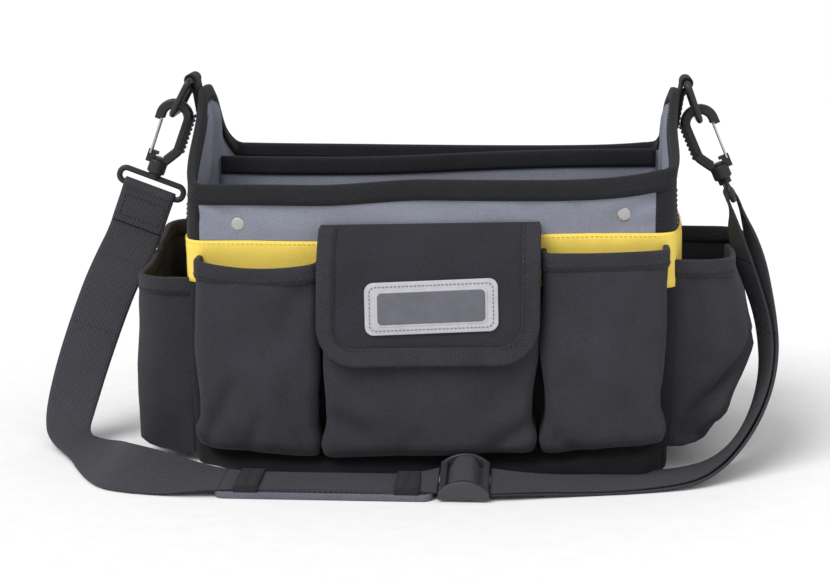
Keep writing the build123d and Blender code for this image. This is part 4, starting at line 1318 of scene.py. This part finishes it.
LEFT_RUN = [
    stop(-217.2, 0.0, 148.6, 0.94, 0.0, -0.342),
    stop(-220.2, 0.0, 140.4, 0.94, 0.0, -0.342),
    stop(-227.5, -9.0, 125.0, 0.94, -0.04, -0.34),
    stop(-236.5, -19.0, 103.5, 0.94, -0.06, -0.33),
    stop(-250.5, -32.5, 61.0, 0.95, -0.12, -0.26),
    stop(-259.0, -43.0, 28.0, 0.95, -0.25, -0.18),
    stop(-261.5, -52.0, 10.5, 0.9, -0.42, -0.05),
    stop(-250.0, -68.0, 6.6, 0.99, 0.0, 0.05),
    stop(-233.3, -86.6, 6.3, 0.88, 0.44, 0.17),
    stop(-223.0, -113.3, 8.9, 0.79, 0.46, 0.41),
    stop(-212.3, -140.7, 12.4, 0.53, 0.61, 0.59),
    stop(-201.4, -153.0, 13.4, 0.35, 0.68, 0.64),
    stop(-170.5, -157.4, 10.1, 0.13, 0.87, 0.47),
    stop(-148.2, -157.0, 7.8, 0.1, 0.97, 0.15),
    stop(-125.0, -155.0, 6.1, 0.0, 1.0, 0.02),
    stop(-90.0, -153.2, 5.7, 0.0, 1.0, 0.0),
    stop(-45.0, -152.8, 5.7, 0.0, 1.0, 0.0),
    stop(-6.0, -153.0, 5.8, 0.0, 1.0, 0.0),
    stop(8.9, -153.4, 8.1, 0.0, 0.988, 0.156),
]
INNER_RUN = [
    stop(43.0, -153.5, 8.2, 0.0, 0.988, 0.156),
    stop(51.0, -153.2, 7.7, 0.0, 0.995, 0.1),
    stop(76.0, -146.5, 5.4, 0.0, 1.0, 0.0),
    stop(104.0, -139.0, 3.1, 0.0, 1.0, 0.0),
    stop(141.0, -131.0, 3.3, 0.0, 1.0, 0.0),
    stop(176.0, -119.0, 5.0, 0.0, 1.0, -0.03),
    stop(195.0, -106.0, 10.5, 0.03, 1.0, -0.12),
    stop(210.2, -92.5, 22.8, 0.05, 1.0, -0.15),
    stop(222.0, -77.5, 40.0, 0.0, 1.0, -0.12),
    stop(229.3, -62.0, 60.0, -0.08, 1.0, -0.06),
    stop(230.5, -50.0, 80.0, -0.18, 1.0, 0.0),
    stop(228.3, -39.0, 97.0, -0.23, 1.0, 0.0),
    stop(223.3, -29.0, 113.0, -0.27, 1.0, 0.0),
    stop(216.8, -18.0, 131.0, -0.3, 1.0, 0.0),
    stop(211.6, -7.0, 149.0, -0.22, 1.0, 0.0),
    stop(210.2, 0.0, 162.1, 0.0, 1.0, 0.0),
    stop(207.8, 0.0, 167.6, 0.0, 1.0, 0.0),
]
OUTER_RUN = [
    stop(43.0, -153.2, 6.4, 0.0, 0.988, 0.156),
    stop(51.0, -152.9, 5.8, 0.0, 0.995, 0.1),
    stop(76.0, -146.5, 3.1, 0.0, 1.0, 0.0),
    stop(104.0, -139.5, 1.1, 0.0, 1.0, 0.0),
    stop(141.5, -131.5, 1.1, 0.0, 1.0, 0.0),
    stop(177.0, -120.5, 2.7, 0.0, 1.0, -0.02),
    stop(196.6, -107.5, 8.2, 0.03, 1.0, -0.12),
    stop(212.4, -94.2, 20.7, 0.05, 1.0, -0.15),
    stop(224.6, -78.5, 38.0, 0.0, 1.0, -0.12),
    stop(232.0, -63.0, 58.5, -0.08, 1.0, -0.06),
    stop(233.8, -50.0, 79.5, -0.18, 1.0, 0.0),
    stop(232.3, -39.0, 97.5, -0.22, 1.0, 0.0),
    stop(229.3, -28.0, 115.0, -0.25, 1.0, 0.0),
    stop(225.8, -16.5, 134.5, -0.24, 1.0, 0.0),
    stop(221.0, -7.0, 152.0, -0.14, 1.0, 0.0),
    stop(216.2, 0.0, 164.8, 0.0, 1.0, 0.0),
    stop(213.8, 0.0, 170.2, 0.0, 1.0, 0.0),
]


def ribbon(name, line, first, last):
    """A length of strap through points first to last of a line, textured by its place on the strap."""
    points, hints = line
    part, across = points[first:last + 1], [h.normalized() for h in hints[first:last + 1]]
    ups = [d.cross(a).normalized() for d, a in zip(tangents(points)[first:last + 1], across)]
    obj = carry(name, part, across, ups, flat_section(STRAP_WIDE, STRAP_THICK, cells=12))
    shift = length_of(points[:first + 1])
    for loop in obj.data.uv_layers["cloth"].data:
        loop.uv.x += shift
    return obj


# heights at which the pieces of the left and right runs meet, and at which they reach the floor
LEFT_JOINTS, LEFT_FLOOR = (126.0, 80.0), 14.0
RIGHT_JOINTS, RIGHT_FLOOR = (88.0, 132.0), 12.0
PAD_COVERS = (-134.0, -130.0)  # the left run is on the pad past this x and in front of this y


def first(points, test):
    """The number of the first point that passes the test."""
    return next(i for i, p in enumerate(points) if test(p))


def build_strap():
    # left: from the sewn end down to the floor and along to the slider
    line = smooth_line(LEFT_RUN, 330)
    points = line[0]
    a, b = (first(points, lambda p: p.z < height * MM) for height in LEFT_JOINTS)
    c = first(points, lambda p: p.x > PAD_COVERS[0] * MM and p.y < PAD_COVERS[1] * MM)
    last = len(points) - 1
    top = ribbon("strap_left_top", line, 0, a)
    upper = ribbon("strap_left_upper", line, a, b)
    main = ribbon("strap_left", line, b, c)
    floor = ribbon("strap_under_pad", line, c, last)
    for obj in (top, upper, floor):
        finish(obj, "webbing", None, "strap_webbing")
    finish(main, "webbing", None, "strap_webbing", "strap_left_run")
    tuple(points[a - 3])
    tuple(points[3])
    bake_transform(top)
    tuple(points[b - 4])
    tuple(points[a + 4])
    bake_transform(upper)
    low = first(points, lambda p: p.z < LEFT_FLOOR * MM)
    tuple(points[low])
    tuple(points[b + 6])
    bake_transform(main)
    tuple(points[c + 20])
    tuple(points[last - 12])
    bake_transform(floor)
    tuple(points[b])
    length_of(points[b:c + 1])
    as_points(points[b:c + 1])

    # right: two runs side by side, up from the slider to the bar
    uppers, tops = [], []
    for name, stops in (("inner", INNER_RUN), ("outer", OUTER_RUN)):
        line = smooth_line(stops, 250)
        points = line[0]
        last = len(points) - 1
        a, b = (first(points, lambda p: p.z > height * MM) for height in RIGHT_JOINTS)
        run = ribbon(f"strap_right_{name}", line, 0, a)
        finish(run, "webbing", None, "strap_webbing", f"strap_{name}_run")
        low = first(points, lambda p: p.z > RIGHT_FLOOR * MM)
        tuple(points[low])
        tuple(points[a - 6])
        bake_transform(run)
        uppers.append((ribbon("upper", line, a, b), points[a + 4], points[b - 4]))
        tops.append((ribbon("top", line, b, last), points[b + 3], points[last - 3]))
        tuple(points[0])
        length_of(points[:a + 1])
        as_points(points[:a + 1])
    bodies = ("right_ring", "right_hook", "right_swivel")
    for name, pair, lower, higher in (("upper", uppers, *bodies[:2]), ("top", tops, *bodies[1:])):
        obj = join(f"strap_right_{name}", [o for o, _, _ in pair])
        finish(obj, "webbing", None, "strap_webbing")
        pair[0][1].lerp(pair[1][1], 0.5)
        pair[0][2].lerp(pair[1][2], 0.5)
        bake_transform(obj)


def build_strap_ends():
    """The folds round the two bars, sewn on the left and threaded through on the right."""
    bar, gap, half_strap = 2.1, 0.4, 0.8
    r = bar + gap + half_strap
    cells = range(15)
    local = [
        (-0.15 * ease(1 - i / 14) - 0.95 - 1.2 * ease((i - 10) / 5), BAR_LOW - mix(28.0, 3.0, i / 14))
        for i in cells
    ]
    turns = [pi + radians(35) - (pi + radians(70)) * i / 14 for i in cells]
    local += [(r * cos(a), BAR_LOW + r * sin(a)) for a in turns]
    local += [(0.95 + 1.2 * (1 - ease(i / 5)), BAR_LOW - mix(3.0, 27.2, i / 14)) for i in cells]
    # on the left the bar lies along the hook's x, so the fold is in the hook's y
    line = even([on_hook("left", 0, y, z) for y, z in local], 110)
    across = (on_hook("left", 1, 0, 0) - on_hook("left", 0, 0, 0)).normalized()
    end = flat_band("strap_left_end", line, across, STRAP_WIDE, STRAP_THICK)
    finish(end, "webbing", "left_swivel", "strap_webbing", "strap_left_end")
    rows = []
    for face in (-1, 1):
        box = [(-15, 8), (15, 8), (15, 23), (-15, 23), (-15, 8)]
        rows += box_stitches(
            box, lambda x, d: on_hook("left", x, face * 1.85, BAR_LOW - d), Vector((0, face, 0)),
        )
    finish(join("strap_end_stitching", rows), "thread", "left_swivel", "strap_webbing")

    # on the right the bar lies along y
    local = [(-3.4, BAR_LOW - 6.0), (-3.35, BAR_LOW - 3.0)]
    local += [(r * cos(pi - pi * i / 14), BAR_LOW + r * sin(pi - pi * i / 14)) for i in cells]
    local += [(3.35, BAR_LOW - 3.0), (3.4, BAR_LOW - 6.0)]
    line = even([on_hook("right", x, 0, z) for x, z in local], 40)
    turn = flat_band("strap_right_turn", line, Vector((0, 1, 0)), STRAP_WIDE, STRAP_THICK)
    finish(turn, "webbing", "right_swivel", "strap_webbing", "strap_right_bend")


# ---- slider and shoulder pad --------------------------------------------------------------------
SLIDER_AT, SLIDER_TIP = (26.0, -153.0, 5.2), radians(9.0)
SLIDER_END = 16.3


def on_slider(x, y, z):
    c, s = cos(SLIDER_TIP), sin(SLIDER_TIP)
    return mm(SLIDER_AT[0] + x, SLIDER_AT[1] + y * c - z * s, SLIDER_AT[2] + y * s + z * c)


def threaded(name, local, node):
    """Webbing threaded in the slider along a (x, z) line."""
    sides_at = Vector((0, cos(SLIDER_TIP), sin(SLIDER_TIP)))
    line, hints = smooth_line([(on_slider(x, 0, z), sides_at) for x, z in local], 90)
    piece = flat_band(name, line, hints, STRAP_WIDE - 0.0004, STRAP_THICK)
    finish(piece, "webbing", "slider", "strap_webbing", node)


def build_slider():
    e = SLIDER_END
    rise = [(e, 3.0), (12.0, 3.0), (9.4, 3.4), (7.2, 7.6), (4.6, 11.6)]
    hump = [(-x, z) for x, z in rise] + [(0, 11.9)] + rise[::-1]
    threaded("strap_slider_hump", hump, "strap_slider_bend")
    z, r = 6.2, 3.35
    loop = [(e, 1.2), (11.0, 1.2), (7.0, 1.6), (3.2, 2.7), (0.2, 2.9)]
    turns = [radians(v) for v in (-120, -150, 180, 150, 120, 90, 60, 30, 0, -28)]
    loop += [(r * cos(a), z + r * sin(a)) for a in turns]
    threaded("strap_sewn_return", loop, "strap_sewn_end")


PAD = (-137.0, 6.0, -176.5, -130.5, 4.4)  # from and to along x, from and to along y, thickness
KEEPERS = ((-124.0, -108.0), (-19.0, -3.0))  # each from and to along x


def puffed(obj, frames=20, pressure=4.0, cap=0.0012):
    """Swells a closed, remeshed piece with a short cloth simulation, no point moving further than cap."""
    rest = [v.co.copy() for v in obj.data.vertices]
    cloth = obj.modifiers.new("cloth", "CLOTH")
    cloth.settings.use_pressure = True
    cloth.settings.uniform_pressure_force = pressure
    cloth.settings.effector_weights.gravity = 0.0
    cloth.settings.tension_stiffness = 10
    cloth.settings.compression_stiffness = 10
    cloth.settings.bending_stiffness = 0.5
    scene = bpy.context.scene
    scene.frame_start, scene.frame_end = 1, frames
    for frame_number in range(1, frames + 1):
        scene.frame_set(frame_number)
    apply_modifiers(obj)
    scene.frame_set(1)
    for vertex, start in zip(obj.data.vertices, rest):
        move = vertex.co - start
        if move.length > cap:
            vertex.co = start + move.normalized() * cap
    return obj


def build_pad():
    x0, x1, y0, y1, thick = PAD
    wide, deep = x1 - x0, y1 - y0

    def around(inset, radius, z, cells=6):
        outline = rounded_outline(wide - inset, deep - inset, radius, cells)
        return [(mm((x0 + x1) / 2 + x, (y0 + y1) / 2 + y, z), (x * MM, y * MM)) for x, y in outline]

    layers = [(1.6, 0.7), (1.0, 1.2), (1.0, thick - 1.2), (2.2, thick - 0.5), (6.0, thick - 0.2)]
    rows = [around(2 * inset, 7.0 - inset * 0.5, z) for inset, z in layers]
    pad = rows_object("shoulder_pad", rows, 0.4)
    n, count = len(rows[0]), len(pad.data.vertices)
    add_faces(pad, range(n), range(count - n, count))
    recalc(pad)
    remesh = pad.modifiers.new("voxels", "REMESH")
    remesh.mode = "VOXEL"
    remesh.voxel_size = 0.0015
    apply_modifiers(pad)
    puffed(pad)
    lift = 0.0002 - min(v.co.z for v in pad.data.vertices)
    for vertex in pad.data.vertices:
        vertex.co.z += max(lift, 0.0)
    finish(pad, "pad", "pad", "pad_cloth", "shoulder_pad")

    line = [p for p, _ in around(1.0, 6.6, thick / 2, 8)]
    outs = [o.cross(Vector((0, 0, 1))).normalized() for o in tangents(line, True)]
    tape = [
        (-0.6, -1.9), (0.25, -2.0), (0.5, -1.2), (0.55, 0.0),
        (0.5, 1.3), (0.1, 2.15), (-1.6, 2.3), (-1.7, 1.9),
    ]
    section = [(o * MM, u * MM) for o, u in tape]
    binding = carry("pad_edge", line, outs, Vector((0, 0, 1)), section, True)
    finish(binding, "pad_edge", "pad", "pad_cloth")
    seam = [p for p, _ in around(5.4, 5.0, thick + 0.35)]
    thread = stitches("pad_stitching", even(seam + seam[:1], 200), Vector((0, 0, 1)), 0.0034, 0.0023)
    finish(thread, "thread", "pad", "pad_cloth")

    loops = []
    for a, b in KEEPERS:
        low, high = thick - 0.3, thick + 3.5
        path = [
            (y0 + 0.9, low), (y0 + 1.1, high - 1.6), (y0 + 2.6, high), (y0 + 8.0, high + 0.25),
            ((y0 + y1) / 2, high + 0.3), (y1 - 8.0, high + 0.25), (y1 - 2.6, high), (y1 - 1.1, high - 1.6),
            (y1 - 0.9, low),
        ]
        line, hints = smooth_line([(mm((a + b) / 2, y, z), Vector((1, 0, 0))) for y, z in path], 50)
        loops.append(flat_band("keeper", line, hints, (b - a) * MM, 0.0011, 6))
    finish(join("pad_keepers", loops), "keeper", "pad", "keeper", "pad_keepers")


# ---- CAD nodes that keep their shape ------------------------------------------------------------
def dress(material, *names):
    for name in names:
        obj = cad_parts[name]
        if not obj.material_slots:
            obj.data.materials.append(M[material])
        for material_slot in obj.material_slots:
            material_slot.material = M[material]


def build_all():
    build_shell()
    build_lower_shell()
    build_rivets()
    build_corners()
    build_inside()
    for name in FRONT_POCKETS:
        front_pocket(name)
    for name in END_POCKETS:
        end_pocket(name)
    back_pocket()
    build_flap()
    build_label()
    for name in HOOKS:
        build_tab(name)
        build_hook_ribs(name)
    build_strap()
    build_strap_ends()
    build_slider()
    build_pad()
    dress("board", "base_board")
    dress("nickel", "rivet_back_caps")
    dress("plastic", "left_hook", "right_hook", "left_strap_bar", "right_strap_bar")
    dress("ring", "left_ring", "right_ring")
    dress("wire", "left_gate", "right_gate")
    # the slider's lightened colour is painted highlight on black plastic
    dress("slider", "slider_frame", "slider_bar")
    dress("fuzz", "closure_hook_strip", "closure_loop_strip")


build_all()


# ---- floor and light ----------------------------------------------------------------------------
def area_light(name, place, target, size, power):
    data = bpy.data.lights.new(name, "AREA")
    data.shape = "RECTANGLE"
    data.size, data.size_y = size
    data.energy = power
    light = bpy.data.objects.new(name, data)
    bpy.context.collection.objects.link(light)
    light.location = place
    light.rotation_euler = (Vector(target) - Vector(place)).to_track_quat("-Z", "Y").to_euler()


def build_room():
    far = 30  # metres to the floor's edge, out of sight
    corners = [(-far, -far, 0), (far, -far, 0), (far, far, 0), (-far, far, 0)]
    floor = new_object("floor", corners, [(0, 1, 2, 3)])
    m = Mat("pale floor", 0.9, 0.1)
    fine = m.noise(m.place("object"), 60, 2.0)
    m.links.new(m.grey(fine, 0.93, 0.96, 0.3, 0.7), m.shader.inputs["Base Color"])
    floor.data.materials.append(m.mat)
    world = bpy.data.worlds.new("studio")
    bpy.context.scene.world = world
    world.use_nodes = True
    background = world.node_tree.nodes["Background"]
    background.inputs["Color"].default_value = (1, 1, 1, 1)
    background.inputs["Strength"].default_value = 0.62
    sun = bpy.data.lights.new("key", "SUN")
    sun.energy, sun.angle = 1.95, radians(40)
    key = bpy.data.objects.new("key", sun)
    bpy.context.collection.objects.link(key)
    key.rotation_euler = Vector((0.85, 1.0, -1.5)).to_track_quat("-Z", "Y").to_euler()
    area_light("fill", (1.3, -1.1, 0.9), (0, -0.05, 0.1), (0.9, 0.9), 2)
    area_light("back", (0.5, 1.6, 1.0), (0, 0, 0.15), (1.0, 0.7), 1)


build_room()
